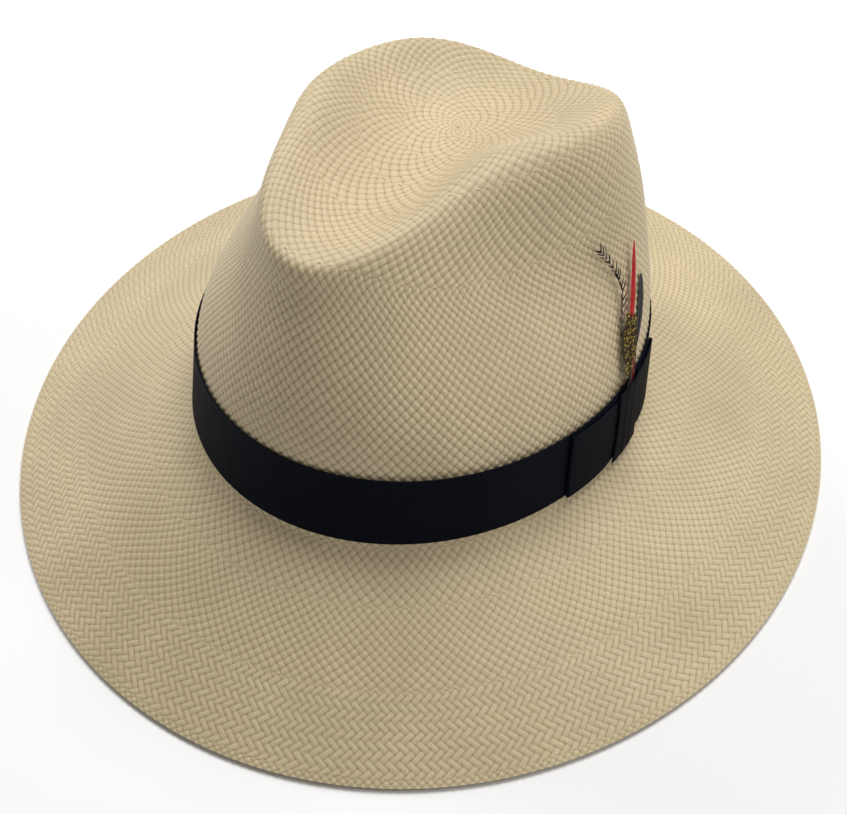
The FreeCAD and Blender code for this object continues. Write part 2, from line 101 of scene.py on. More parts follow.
def hash01(*keys: np.ndarray, seed: int = 0) -> np.ndarray:
    """Gives repeatable values for whole-number keys.

    Args:
        keys: arrays of whole numbers that go together.
        seed: sets one use apart from another.

    Returns:
        A value from 0 to 1 for each set of keys.
    """
    mix = np.full(np.broadcast(*keys).shape, 2166136261 + seed * 977, dtype=np.uint64)
    for key in keys:
        mix = (mix ^ np.asarray(key, dtype=np.int64).astype(np.uint64)) * np.uint64(1099511628211)
        mix ^= mix >> np.uint64(29)
    return ((mix >> np.uint64(11)) & np.uint64(0xFFFFFF)).astype(float) / float(0xFFFFFF)


class NodeBoard:
    """A material's shader nodes, added and joined with short calls."""

    def __init__(self, name: str) -> None:
        """Starts a material with one shader and its output."""
        self.material = bpy.data.materials.new(name)
        self.material.use_nodes = True
        self.tree = self.material.node_tree
        self.tree.nodes.clear()
        self.coords: bpy.types.Node | None = None
        output = self.tree.nodes.new("ShaderNodeOutputMaterial")
        self.shader = self.tree.nodes.new("ShaderNodeBsdfPrincipled")
        self.tree.links.new(self.shader.outputs["BSDF"], output.inputs["Surface"])

    def add(self, kind: str, **values: object) -> bpy.types.Node:
        """Adds a node and sets its properties.

        Args:
            kind: the node type's name after "ShaderNode".
            values: properties, or sockets when the name is not a property.

        Returns:
            The node.
        """
        made = self.tree.nodes.new("ShaderNode" + kind)
        for key, value in values.items():
            if hasattr(made, key):
                setattr(made, key, value)
            else:
                made.inputs[key.replace("_", " ")].default_value = value
        return made

    def link(self, source: bpy.types.NodeSocket, target: bpy.types.NodeSocket) -> None:
        """Joins two sockets."""
        self.tree.links.new(source, target)

    def math(self, operation: str, first: object, second: object = 0.0) -> bpy.types.NodeSocket:
        """Adds a math node.

        Args:
            operation: what it works out.
            first: a socket or a number.
            second: a socket or a number.

        Returns:
            The node's result.
        """
        made = self.add("Math", operation=operation)
        for slot, item in zip(made.inputs, (first, second)):
            if isinstance(item, bpy.types.NodeSocket):
                self.link(item, slot)
            else:
                slot.default_value = item
        return made.outputs[0]

    def attribute(self, name: str) -> bpy.types.NodeSocket:
        """Returns the value of a mesh attribute."""
        return self.add("Attribute", attribute_name=name).outputs["Fac"]

    def noise(self, scale: float, detail: float = 2.0,
              vector: bpy.types.NodeSocket | None = None,
              dimensions: str = "3D") -> bpy.types.NodeSocket:
        """Adds a noise texture.

        Args:
            scale: its number of lumps to a metre, or to a unit of vector.
            detail: its number of finer layers.
            vector: where it is read; the object's own coordinates if None.
            dimensions: "3D" or "2D".

        Returns:
            The noise's value, 0 to 1.
        """
        made = self.add("TexNoise", noise_dimensions=dimensions)
        made.inputs["Scale"].default_value = scale
        made.inputs["Detail"].default_value = detail
        self.link(self.object_place() if vector is None else vector, made.inputs["Vector"])
        return made.outputs["Fac"]

    def object_place(self) -> bpy.types.NodeSocket:
        """Returns the object's own coordinates."""
        if self.coords is None:
            self.coords = self.add("TexCoord")
        return self.coords.outputs["Object"]

    def surface(self, roughness: float, specular: float | None = None,
                sheen: float | None = None) -> None:
        """Sets the shader's plain values.

        Args:
            roughness: 0 for a mirror to 1 for chalk.
            specular: strength of the gloss; None leaves the shader's own.
            sheen: strength of the dusty edge; None leaves the shader's own.
        """
        self.shader.inputs["Roughness"].default_value = roughness
        if specular is not None:
            self.shader.inputs["Specular IOR Level"].default_value = specular
        if sheen is not None:
            self.shader.inputs["Sheen Weight"].default_value = sheen

    def ramp(self, value: bpy.types.NodeSocket, stops: Stops) -> bpy.types.NodeSocket:
        """Adds a colour ramp.

        Args:
            value: what the ramp reads.
            stops: places from 0 to 1 and their colours.

        Returns:
            The ramp's colour.
        """
        made = self.add("ValToRGB")
        band = made.color_ramp
        while len(band.elements) < len(stops):
            band.elements.new(0.5)
        for element, (place, colour) in zip(band.elements, stops):
            element.position = place
            element.color = (*colour, 1.0)
        self.link(value, made.inputs["Fac"])
        return made.outputs["Color"]

    def mix(self, factor: object, first: object, second: object,
            blend: str = "MIX") -> bpy.types.NodeSocket:
        """Mixes two colours.

        Args:
            factor: the second colour's share, a socket or a number.
            first: a socket or a colour.
            second: a socket or a colour.
            blend: the way of mixing.

        Returns:
            The mixed colour.
        """
        made = self.add("Mix", data_type="RGBA", blend_type=blend)
        slots = (made.inputs[0], made.inputs[6], made.inputs[7])   # factor and both colours
        for slot, item in zip(slots, (factor, first, second)):
            if isinstance(item, bpy.types.NodeSocket):
                self.link(item, slot)
            elif isinstance(item, tuple):
                slot.default_value = (*item, 1.0)
            else:
                slot.default_value = item
        return made.outputs[2]

    def bump(self, height: bpy.types.NodeSocket, distance: float, strength: float = 1.0) -> None:
        """Raises the surface without moving its mesh.

        Args:
            height: the relief.
            distance: metres for a height of one.
            strength: share of the relief that shows.
        """
        made = self.add("Bump")
        made.inputs["Strength"].default_value = strength
        made.inputs["Distance"].default_value = distance
        self.link(height, made.inputs["Height"])
        self.link(made.outputs["Normal"], self.shader.inputs["Normal"])


def dress(piece: bpy.types.Object, material: bpy.types.Material) -> None:
    """Gives a piece one material."""
    piece.data.materials.clear()
    piece.data.materials.append(material)


# --------------------------------------------------------------- hat's form
@dataclass(frozen=True)
class CrownFrame:
    """The crown's own frame inside the hat's frame, in millimetres."""

    lift: float = 35.3
    tilt: float = 7.3

    def to_hat(self, points: np.ndarray) -> np.ndarray:
        """Turns crown-frame points, last axis x, y, z, into hat-frame points."""
        t = math.radians(self.tilt)
        x, y, z = points[..., 0], points[..., 1], points[..., 2]
        return np.stack([x, y * math.cos(t) + z * math.sin(t),
                         -y * math.sin(t) + z * math.cos(t) + self.lift], axis=-1)

    def turn(self, vectors: np.ndarray) -> np.ndarray:
        """Turns crown-frame directions into hat-frame directions."""
        return self.to_hat(vectors) - self.to_hat(np.zeros(3))


CROWN = CrownFrame()


@dataclass(frozen=True)
class HatForm:
    """The straw's outer face: a cubic net from the weave's centre to the rim."""

    columns: int = 36
    foot: tuple[float, float] = (85.0, 102.0)
    rim: tuple[float, float] = (163.0, 171.6)
    rim_edge: float = 1.6
    centre_height: float = 97.0
    centre_back: float = 29.0
    centre_side: float = -8.0
    # Each line below holds shares of the foot, or heights, at these angles:
    # first on the wearer's left, then on the right.
    angles: Values = (0, 22, 45, 68, 92, 118, 145, 180)
    ridge: tuple[Values, Values] = (
        (.80, .49, .335, .31, .37, .60, .77, .80), (.80, .77, .64, .58, .63, .72, .78, .80))
    shoulder: tuple[Values, Values] = (
        (.88, .74, .59, .54, .66, .86, .915, .92), (.88, .85, .77, .73, .78, .855, .90, .92))
    dent: tuple[Values, Values] = (
        (.945, .885, .80, .78, .84, .925, .95, .955), (.945, .92, .88, .87, .895, .93, .95, .955))
    lip: tuple[Values, Values] = (
        (.975, .955, .935, .93, .95, .97, .98, .98), (.975, .965, .96, .955, .96, .97, .98, .98))
    ridge_height: tuple[Values, Values] = (
        (105, 107.5, 112, 114.5, 116, 115.5, 108.5, 95), (105, 108, 111, 113, 113, 109.5, 106, 95))
    # share of the way out along the brim, and the lift of the brim there
    brim_rows: tuple[Values, ...] = (
        (0.02, 0.0), (0.10, 0.5), (0.33, 1.5), (0.62, 1.0), (0.86, 0.0), (1.0, 0.0))

    def around(self, pair: tuple[Values, Values]) -> np.ndarray:
        """Runs a smooth closed curve through one line's values.

        Args:
            pair: the values on the left and on the right, front to back.

        Returns:
            The curve's value at each column.
        """
        left, right = pair
        knots = np.radians(np.array([-a for a in self.angles[:0:-1]] + list(self.angles)))
        vals = np.array(list(right[:0:-1]) + list(left))
        count = len(knots) - 1
        gap = np.diff(knots)
        slope = np.diff(vals) / gap
        system = np.zeros((count, count))
        for i in range(count):
            before = gap[i - 1]
            system[i, (i - 1) % count] += before
            system[i, i] += 2 * (before + gap[i])
            system[i, (i + 1) % count] += gap[i]
        bend = np.linalg.solve(system, 6 * (slope - np.roll(slope, 1)))
        bend = np.append(bend, bend[0])
        full = 2 * math.pi
        where = (np.arange(self.columns) * full / self.columns + math.pi) % full - math.pi
        i = np.clip(np.searchsorted(knots, where, side="right") - 1, 0, count - 1)
        left_part, right_part, h = where - knots[i], knots[i + 1] - where, gap[i]
        return ((bend[i] * right_part ** 3 + bend[i + 1] * left_part ** 3) / (6 * h)
                + (vals[i] / h - bend[i] * h / 6) * right_part
                + (vals[i + 1] / h - bend[i + 1] * h / 6) * left_part)

    def net(self) -> np.ndarray:
        """Control points, rows by columns, in the hat's frame."""
        ridge, shoulder, dent, lip, top = [
            self.around(p) for p in
            (self.ridge, self.shoulder, self.dent, self.lip, self.ridge_height)]
        a = np.arange(self.columns) * 2 * math.pi / self.columns
        swell = 1 / (1 - (1 - math.cos(2 * math.pi / self.columns)) / 3)
        floor, one = self.centre_height, np.ones_like(a)
        # share of the foot, height, and how far the row follows the weave's centre
        section = (
            (0.004 * one, floor * one, 1.0), (0.13 * one, (floor + 0.3) * one, 1.0),
            (0.42 * ridge, floor + 0.10 * (top - floor), 0.75),
            (0.74 * ridge, floor + 0.60 * (top - floor), 0.4),
            (ridge - 0.035, top + 1.0, 0.1), (ridge + 0.055, top + 0.5, 0.0),
            (0.45 * ridge + 0.55 * shoulder, top - 10.0, 0.0),
            (shoulder, 80 * one, 0.0), (dent, 60 * one, 0.0), (lip, 44 * one, 0.0),
            (0.985 * one, 30 * one, 0.0), (0.9965 * one, 14 * one, 0.0),
            (0.9995 * one, 6 * one, 0.0), (one, 1.5 * one, 0.0))
        rows = [CROWN.to_hat(np.stack([
            share * swell * self.foot[0] * np.sin(a) + shift * self.centre_side,
            -share * swell * self.foot[1] * np.cos(a) + shift * self.centre_back,
            height], axis=-1)) for share, height, shift in section]
        foot = CROWN.to_hat(np.stack([swell * self.foot[0] * np.sin(a),
                                      -swell * self.foot[1] * np.cos(a), -1.0 * one], axis=-1))
        rim = np.stack([swell * self.rim[0] * np.sin(a), -swell * self.rim[1] * np.cos(a),
                        self.rim_edge * one], axis=-1)
        for share, sag in self.brim_rows:
            rows.append(foot * (1 - share) + rim * share + np.array([0, 0, sag]))
        return np.stack(rows)

    @staticmethod
    def open_basis(count: int, where: np.ndarray) -> np.ndarray:
        """Weighs an open row of control points.

        Args:
            count: control points in the row.
            where: places along it, 0 to 1.

        Returns:
            Each place's cubic weights, one row to a place.
        """
        knots = np.concatenate([np.zeros(3), np.linspace(0, 1, count - 2), np.ones(3)])
        where = np.clip(where, 0, 1 - 1e-9)
        basis = ((where[:, None] >= knots[:-1]) & (where[:, None] < knots[1:])).astype(float)
        for degree in (1, 2, 3):
            span = knots[degree:] - knots[:-degree]
            share = np.divide(where[:, None] - knots[:-degree], span,
                              out=np.zeros((len(where), len(span))), where=span > 0)
            rest = np.divide(knots[degree:] - where[:, None], span,
                             out=np.zeros((len(where), len(span))), where=span > 0)
            basis = share[:, :-1] * basis[:, :-1] + rest[:, 1:] * basis[:, 1:]
        return basis

    @staticmethod
    def closed_basis(count: int, where: np.ndarray) -> np.ndarray:
        """Weighs a closed ring of control points.

        Args:
            count: control points in the ring.
            where: places round it, counted in control points.

        Returns:
            Each place's cubic weights, one row to a place.
        """
        low = np.floor(where).astype(int)
        f = where - low
        basis = np.zeros((len(where), count))
        weights = ((1 - f) ** 3 / 6, (3 * f ** 3 - 6 * f ** 2 + 4) / 6,
                   (-3 * f ** 3 + 3 * f ** 2 + 3 * f + 1) / 6, f ** 3 / 6)
        for k, weight in enumerate(weights):
            np.add.at(basis, (np.arange(len(where)), (low + k - 1) % count), weight)
        return basis

    def surface(self, along: np.ndarray, angles: np.ndarray) -> np.ndarray:
        """Points of the outer face over a grid, in millimetres.

        Args:
            along: parameters from the centre (0) to the rim (1).
            angles: degrees round the hat.

        Returns:
            An array of along by angles by x, y, z.
        """
        net = self.net()
        across = self.closed_basis(self.columns, (angles % 360.0) * self.columns / 360.0)
        return np.einsum("ui,vj,ijk->uvk", self.open_basis(len(net), along), across, net)


@dataclass
class StrawField:
    """The straw's face laid out by woven rows and strands.

    A place is (row share, ring share): the share of the way along the weave's
    rows, and the share of the way round the ring there, from the centre back.
    Both are even in real length, so that strands keep their width.
    """

    form: HatForm
    start: float
    stop: float
    rows: int = 240
    around: int = 1440
    points: np.ndarray = field(init=False)
    normals: np.ndarray = field(init=False)
    perimeter: np.ndarray = field(init=False)
    reach: float = field(init=False)

    def __post_init__(self) -> None:
        """Measures the face and lays it out."""
        along = np.linspace(self.start, self.stop, 420)
        angles = 180.0 + np.arange(self.around) * 360.0 / self.around
        face = self.form.surface(along, angles)
        step_along = np.gradient(face, axis=0)
        step_round = (np.roll(face, -1, axis=1) - np.roll(face, 1, axis=1)) / 2
        normal = np.cross(step_round, step_along)
        normal /= np.linalg.norm(normal, axis=-1, keepdims=True)
        if normal[-1, 0, 2] < 0:
            normal = -normal
        lengths = np.linalg.norm(np.diff(face, axis=0), axis=-1)
        run = np.concatenate([np.zeros((1, self.around)), np.cumsum(lengths, axis=0)])
        self.reach = float(run[-1].mean())
        share = run / run[-1]
        want = np.linspace(0, 1, self.rows)
        both = np.concatenate([face, normal], axis=-1)
        level = np.empty((self.rows, self.around, 6))      # place and normal
        for j in range(self.around):
            for k in range(6):
                level[:, j, k] = np.interp(want, share[:, j], both[:, j, k])
        closed = np.concatenate([level, level[:, :1]], axis=1)
        step = np.linalg.norm(np.diff(closed[..., :3], axis=1), axis=-1)
        ring = np.concatenate([np.zeros((self.rows, 1)), np.cumsum(step, axis=1)], axis=1)
        self.perimeter = ring[:, -1]
        even = np.empty_like(level)
        places = np.arange(self.around) / self.around
        for i in range(self.rows):
            for k in range(6):
                even[i, :, k] = np.interp(places, ring[i] / ring[i, -1], closed[i, :, k])
        self.points = even[..., :3]
        self.normals = even[..., 3:] / np.linalg.norm(even[..., 3:], axis=-1, keepdims=True)

    def at(self, row_share: np.ndarray, ring_share: np.ndarray) -> tuple[np.ndarray, np.ndarray]:
        """Finds places on the field.

        Args:
            row_share: shares of the way along the weave's rows.
            ring_share: shares of the way round.

        Returns:
            The points in millimetres, and the normals there.
        """
        i = np.clip(row_share, 0, 1) * (self.rows - 1)
        i0 = np.minimum(np.floor(i).astype(int), self.rows - 2)
        fi = (i - i0)[:, None]
        j = (ring_share % 1.0) * self.around
        j0 = np.floor(j).astype(int) % self.around
        j1 = (j0 + 1) % self.around
        fj = (j - np.floor(j))[:, None]
        out = []
        for table in (self.points, self.normals):
            out.append((table[i0, j0] * (1 - fj) + table[i0, j1] * fj) * (1 - fi)
                       + (table[i0 + 1, j0] * (1 - fj) + table[i0 + 1, j1] * fj) * fi)
        out[1] /= np.linalg.norm(out[1], axis=-1, keepdims=True)
        return out[0], out[1]


# -------------------------------------------------------------- straw weave
class Weave(Enum):
    """How the two families of straw strands pass over each other."""

    PLAIN = (2, 1)
    TWILL = (4, 2)

    def over(self, a: np.ndarray, b: np.ndarray) -> np.ndarray:
        """True where the first family lies on top, by strand numbers."""
        repeat, length = self.value
        return (a + b) % repeat < length


@dataclass(frozen=True)
class WeaveZone:
    """One ring of the weave with a fixed number of strands.

    start and stop are row shares of the field, strands the number in each
    family, cuts the number of pieces that the zone is made in.
    """

    name: str
    start: float
    stop: float
    strands: int
    weave: Weave = Weave.PLAIN
    cuts: int = 1
    relief: float = 0.56           # mm, height of the strands


@dataclass(frozen=True)
class StrandShape:
    """How strands stand up and cross, and the painted shade in their gaps; heights are shares of a
    zone's relief.
    """

    spread: Values = (0.0, 0.22, 0.5, 0.78)        # places of a strand's four points
    dome: Values = (0.0, 0.76, 1.0, 0.76)          # height across a strand
    dive: Values = (0.0, 0.74, 1.0, 0.74)          # and along one that goes under
    beside: float = 0.22           # height between two strands side by side
    crossing: float = 0.16         # height where a strand goes under
    corner: float = -0.12          # height of the hole where four strands meet
    beside_shade: float = 0.62       # painted shade in the gap at those places
    # painted shade where a strand goes under, and how much darker it gets toward the corners
    crossing_shade: float = 0.42
    crossing_deep_shade: float = 0.25
    pull: float = 0.085            # how far a strand's end reaches sideways
    seam_height: float = 0.6       # share of the height and of the painted gap shade left at a zone's edge
    seam_shade: float = 0.5


STRAND = StrandShape()
SECOND_FAMILY = 5000               # added to the second family's strand numbers


@dataclass(frozen=True)
class StrawFinish:
    """Pale dried palm straw, each strand its own shade."""

    def material(self) -> bpy.types.Material:
        """Builds the straw's material."""
        board = NodeBoard("palm_straw")
        tint, gap = board.attribute("strand_tint"), board.attribute("strand_gap_shade")
        warm = board.ramp(tint, (
            (0.0, (0.46, 0.34, 0.185)), (0.14, (0.60, 0.465, 0.285)), (0.34, (0.68, 0.55, 0.375)),
            (0.52, (0.65, 0.565, 0.35)), (0.70, (0.75, 0.63, 0.46)), (0.86, (0.75, 0.56, 0.43)),
            (1.0, (0.86, 0.78, 0.63))))
        shade = board.ramp(board.noise(26.0, 3.0),
                           ((0.3, (0.90, 0.89, 0.86)), (0.7, (1.06, 1.05, 1.03))))
        lines = board.add("Mapping")
        lines.inputs["Scale"].default_value = (14.0, 1.1, 1.0)     # long thin fibres
        board.link(board.add("UVMap", uv_map="strand").outputs["UV"], lines.inputs["Vector"])
        fibres = board.noise(1.0, vector=lines.outputs["Vector"], dimensions="2D")
        streak = board.ramp(fibres, ((0.25, (0.90, 0.88, 0.84)), (0.75, (1.05, 1.05, 1.04))))
        base = board.mix(1.0, warm, shade, "MULTIPLY")
        base = board.mix(1.0, base, streak, "MULTIPLY")
        # painted shade: darkens the straw in the gaps and holes between strands
        base = board.mix(gap, base, (0.33, 0.235, 0.125))
        board.link(base, board.shader.inputs["Base Color"])
        board.surface(roughness=0.52, specular=0.38, sheen=0.06)
        board.bump(fibres, 0.00006, 0.6)
        return board.material


@dataclass
class StrawHood:
    """The woven hood: crown and brim as rings of interlaced strands."""

    form: HatForm = field(default_factory=HatForm)
    fold: float = 0.735            # parameter where the crown meets the brim
    wall: float = 1.45             # mm between the two faces
    lowest: float = 0.02           # mm above the floor, the least under the rim
    finish: StrawFinish = field(default_factory=StrawFinish)
    crown_zones: tuple[WeaveZone, ...] = (
        WeaveZone("straw_button", 0.0, 0.045, 11, relief=0.34),
        WeaveZone("straw_tip_inner", 0.045, 0.115, 22, relief=0.40),
        WeaveZone("straw_tip_middle", 0.115, 0.215, 44, relief=0.44),
        WeaveZone("straw_tip_outer", 0.215, 0.335, 74, relief=0.56),
        WeaveZone("straw_shoulder", 0.335, 0.50, 108, relief=0.64),
        WeaveZone("straw_side", 0.50, 1.0, 150, cuts=3, relief=0.64),
    )
    brim_zones: tuple[WeaveZone, ...] = (
        WeaveZone("straw_brim_inner", 0.0, 0.25, 172, relief=0.46),
        WeaveZone("straw_brim_middle", 0.25, 0.60, 216, cuts=2, relief=0.42),
        WeaveZone("straw_brim_twill", 0.60, 0.965, 272, Weave.TWILL, cuts=3, relief=0.31),
        WeaveZone("straw_brim_edge", 0.965, 1.0, 330, relief=0.42),
    )

    def build(self) -> list[bpy.types.Object]:
        """Builds every ring and dresses it.

        Returns:
            The pieces, from the weave's centre to the rim.
        """
        material = self.finish.material()
        crown = StrawField(self.form, 0.0, self.fold)
        brim = StrawField(self.form, self.fold, 1.0, rows=140)
        pieces: list[bpy.types.Object] = []
        for layout, zones in ((crown, self.crown_zones), (brim, self.brim_zones)):
            for zone in zones:
                pieces += self.ring_pieces(layout, zone)
        for piece in pieces:
            dress(piece, material)
            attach(piece, ROOT)
            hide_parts("straw_body")
        return pieces

    def ring_pieces(self, layout: StrawField, zone: WeaveZone) -> list[bpy.types.Object]:
        """Makes one zone in its number of pieces.

        Args:
            layout: the face that the weave follows.
            zone: the zone.

        Returns:
            The pieces, in order outward.
        """
        middle = int((zone.start + zone.stop) / 2 * (layout.rows - 1))
        cell = layout.perimeter[middle] / zone.strands
        spans = max(1, round((zone.stop - zone.start) * layout.reach / cell))
        edges = np.linspace(0, spans, zone.cuts + 1).round().astype(int)
        sheet = self.woven_sheet(layout, zone, spans)
        return [self.ring_piece(sheet, zone,
                                zone.name if zone.cuts == 1 else f"{zone.name}_{k + 1}",
                                int(edges[k]), int(edges[k + 1]))
                for k in range(zone.cuts)]

    @staticmethod
    def relief(weave: Weave, first: np.ndarray, second: np.ndarray) -> tuple[np.ndarray, ...]:
        """Height, painted gap shade and sideways pull of the weave at lattice points.

        Args:
            weave: the interlacing.
            first: lattice numbers across the first family, four to a strand.
            second: the same across the second family.

        Returns:
            Height from 0 to 1, painted gap shade from 0 to 1, shift across the
            first family and shift across the second, and the top strand's two numbers.
        """
        dome, dive = np.array(STRAND.dome), np.array(STRAND.dive)
        a0, ma = first // 4, first % 4
        b0, mb = second // 4, second % 4
        here = weave.over(a0, b0)
        left, right = weave.over(a0 - 1, b0), weave.over(a0 + 1, b0)
        below, above = weave.over(a0, b0 - 1), weave.over(a0, b0 + 1)
        # the first family runs along the second number, and the other way round
        run = np.where(here, mb, ma)
        wide = np.where(here, ma, mb)
        before = np.where(here, below, ~left)
        after = np.where(here, above, ~right)
        along = dive[run]
        along = np.where((run < 2) & before, 1.0, along)
        along = np.where((run > 2) & after, 1.0, along)
        inside = (ma > 0) & (mb > 0)
        height = np.where(inside, dome[wide] * along, 0.0)
        # gap is painted shade: darkness put in the gaps and holes between strands
        gap = np.zeros_like(height)
        shift_a, shift_b = np.zeros_like(height), np.zeros_like(height)
        on_a, on_b = (ma == 0) & (mb > 0), (mb == 0) & (ma > 0)
        for edge, pos, near, far, joined in (
                (on_a, mb, here, left, False), (on_b, ma, here, below, True)):
            same = near == far
            through = same & (near == joined)
            beside = same & ~through
            height = np.where(edge & through, dome[pos], height)
            height = np.where(edge & beside, STRAND.beside * dome[pos], height)
            height = np.where(edge & ~same, STRAND.crossing * dome[pos], height)
            gap = np.where(edge & beside, STRAND.beside_shade, gap)
            deep = STRAND.crossing_shade + STRAND.crossing_deep_shade * (1 - dome[pos])
            gap = np.where(edge & ~same, deep, gap)
            pull = STRAND.pull * dome[pos]
            if joined:      # across the second number: the first family's ends reach out
                shift_b = np.where(edge & ~same, np.where(far, pull, -pull), shift_b)
            else:           # across the first number: the second family's ends reach out
                shift_a = np.where(edge & ~same, np.where(~far, pull, -pull), shift_a)
        # the hole where four strands meet gets the darkest painted shade
        corner = (ma == 0) & (mb == 0)
        gap = np.where(corner, 1.0, gap)
        height = np.where(corner, STRAND.corner, height)
        strand = np.where(here, a0, b0 + SECOND_FAMILY)
        cell = np.where(here, b0, a0)
        return height, gap, shift_a, shift_b, strand, cell

    def woven_sheet(self, layout: StrawField, zone: WeaveZone, spans: int) -> dict[str, np.ndarray]:
        """Lays out a whole zone's lattice.

        Args:
            layout: the face that the weave follows.
            zone: the zone.
            spans: rows of cells in it.

        Returns:
            Tables of rows by points round the ring: top and under points and
            normals, strand shade, painted gap shade and the two strand coordinates.
        """
        around, rows_in = 4 * zone.strands, 8 * spans + 1
        k = np.arange(around)
        grid_c = np.repeat(np.arange(rows_in), around)
        d = 2 * np.tile(k, rows_in) + grid_c % 2
        first, second = (grid_c + d) // 2, (grid_c - d) // 2
        spread = np.array(STRAND.spread)
        height, gap, shift_a, shift_b, strand, cell = self.relief(zone.weave, first, second)
        a = first // 4 + spread[first % 4] + shift_a
        b = second // 4 + spread[second % 4] + shift_b
        rows, rings = (a + b) / 2, (a - b) / 2
        edge = (grid_c == 0) | (grid_c == rows_in - 1)
        rows = np.where(edge, np.where(grid_c == 0, 0, spans), rows)
        height = np.where(edge, STRAND.seam_height * height, height)
        gap = np.where(edge, STRAND.seam_shade * gap, gap)
        wrapped = np.where(strand >= SECOND_FAMILY - 1000, strand % 4999, strand % 997)
        shade = hash01(wrapped, seed=len(zone.name))
        lump = hash01(wrapped, cell % 499, seed=3)
        wobble = (0.06 * np.sin(rings * 0.83 + rows * 0.31)
                  + 0.05 * np.sin(rings * 0.29 - rows * 0.57))
        rows = np.where(edge, rows, rows + wobble * 0.8)
        point, normal = layout.at(zone.start + (zone.stop - zone.start) * rows / spans,
                                  (rings + wobble) / zone.strands)
        raised = zone.relief * (height * (0.80 + 0.40 * lump) - 0.35)
        hung = self.wall + zone.relief * 0.5 * (height * 0.9 - 0.3)
        top, under = point + normal * raised[:, None], point - normal * hung[:, None]
        under[:, 2] = np.maximum(under[:, 2], self.lowest)
        faces, triangles = self.lattice_faces(rows_in, around)
        shape = (rows_in, around)
        return {
            "top": top.reshape(*shape, 3), "under": under.reshape(*shape, 3),
            "top_normal": self.point_normals(top, faces, triangles).reshape(*shape, 3),
            "under_normal": -self.point_normals(under, faces, triangles).reshape(*shape, 3),
            "shade": np.clip(shade * 0.72 + lump * 0.28, 0, 1).reshape(shape),
            "gap": gap.reshape(shape), "a": a.reshape(shape), "b": b.reshape(shape)}

    @staticmethod
    def point_normals(points: np.ndarray, quads: np.ndarray, tris: np.ndarray) -> np.ndarray:
        """Averages the normals of the faces that meet at each point.

        Args:
            points: the points.
            quads: point numbers of each face of four.
            tris: point numbers of each face of three.

        Returns:
            A unit normal for each point.
        """
        total = np.zeros_like(points)
        for faces, first, second in ((quads, (0, 2), (1, 3)), (tris, (0, 1), (0, 2))):
            across = np.cross(points[faces[:, first[1]]] - points[faces[:, first[0]]],
                              points[faces[:, second[1]]] - points[faces[:, second[0]]])
            for corner in faces.T:
                for axis in range(3):
                    total[:, axis] += np.bincount(corner, across[:, axis], len(points))
        return total / np.maximum(np.linalg.norm(total, axis=1, keepdims=True), 1e-12)

    def ring_piece(self, sheet: dict[str, np.ndarray], zone: WeaveZone, name: str,
                   low: int, high: int) -> bpy.types.Object:
        """Makes a closed ring of weave between two of its zone's rows.

        Args:
            sheet: the zone's lattice, from woven_sheet.
            zone: the zone it belongs to.
            name: the piece's name.
            low: first row of cells of this piece.
            high: row that this piece stops at.

        Returns:
            The piece, top and under sheet joined along both edges.
        """
        cut = slice(8 * low, 8 * high + 1)
        rows, around = 8 * (high - low) + 1, 4 * zone.strands
        count = rows * around
        part = {key: table[cut].reshape(count, -1) for key, table in sheet.items()}
        points = np.concatenate([part["top"], part["under"]]) * MM
        faces, triangles = self.lattice_faces(rows, around)
        k = np.arange(around)
        wall = []
        for row, way in ((0, 1), (rows - 1, -1)):
            ids, following = row * around + k, row * around + (k + 1) % around
            quad = np.stack([ids, following, following + count, ids + count], axis=1)
            wall.append(quad[:, ::-way])
        quads = np.concatenate([faces, faces[:, ::-1] + count, *wall])
        tris = np.concatenate([triangles, triangles[:, ::-1] + count])
        piece = self.fast_mesh(name, points, quads, tris)
        self.paint(piece, *(np.tile(part[key][:, 0], 2) for key in ("shade", "gap", "a", "b")),
                   zone.strands)
        self.set_normals(piece, np.concatenate([part["top_normal"], part["under_normal"]]),
                         2 * len(faces), len(quads))
        return piece

    @staticmethod
    def set_normals(piece: bpy.types.Object, normals: np.ndarray,
                    wall_from: int, wall_to: int) -> None:
        """Shades a ring as part of the whole sheet, and its end walls flat.

        Args:
            piece: the ring.
            normals: the sheet's normal at each of its points.
            wall_from: first face of the end walls.
            wall_to: the face after their last.
        """
        mesh = piece.data
        loops = np.empty(len(mesh.loops), dtype=np.int32)
        mesh.loops.foreach_get("vertex_index", loops)
        corner = normals[loops]
        flat = np.empty(len(mesh.polygons) * 3, dtype=np.float32)
        mesh.polygons.foreach_get("normal", flat)
        flat = flat.reshape(-1, 3)[wall_from:wall_to]
        corner[4 * wall_from:4 * wall_to] = np.repeat(flat, 4, axis=0)
        mesh.normals_split_custom_set(corner.tolist())

    @staticmethod
    def lattice_faces(rows: int, around: int) -> tuple[np.ndarray, np.ndarray]:
        """Faces of a staggered lattice.

        Args:
            rows: rows of points.
            around: points in a row.

        Returns:
            Point numbers of the diamonds, and of the triangles at both edges.
        """
        row = np.arange(rows - 2)[:, None]
        k = np.arange(around)[None, :]
        odd = row % 2
        low = row * around + k
        # neighbours at the next row: one step on and one step back along the ring
        ahead = (row + 1) * around + (k + odd) % around
        behind = (row + 1) * around + (k + odd - 1) % around
        high = (row + 2) * around + k
        quads = np.stack([low, ahead, high, behind], axis=-1).reshape(-1, 4)
        k = np.arange(around)
        first = np.stack([k, (k + 1) % around, around + k], axis=1)
        base = (rows - 1) * around
        last = np.stack([base + (k + 1) % around, base + k, base - around + k], axis=1)
        return quads, np.concatenate([first, last])

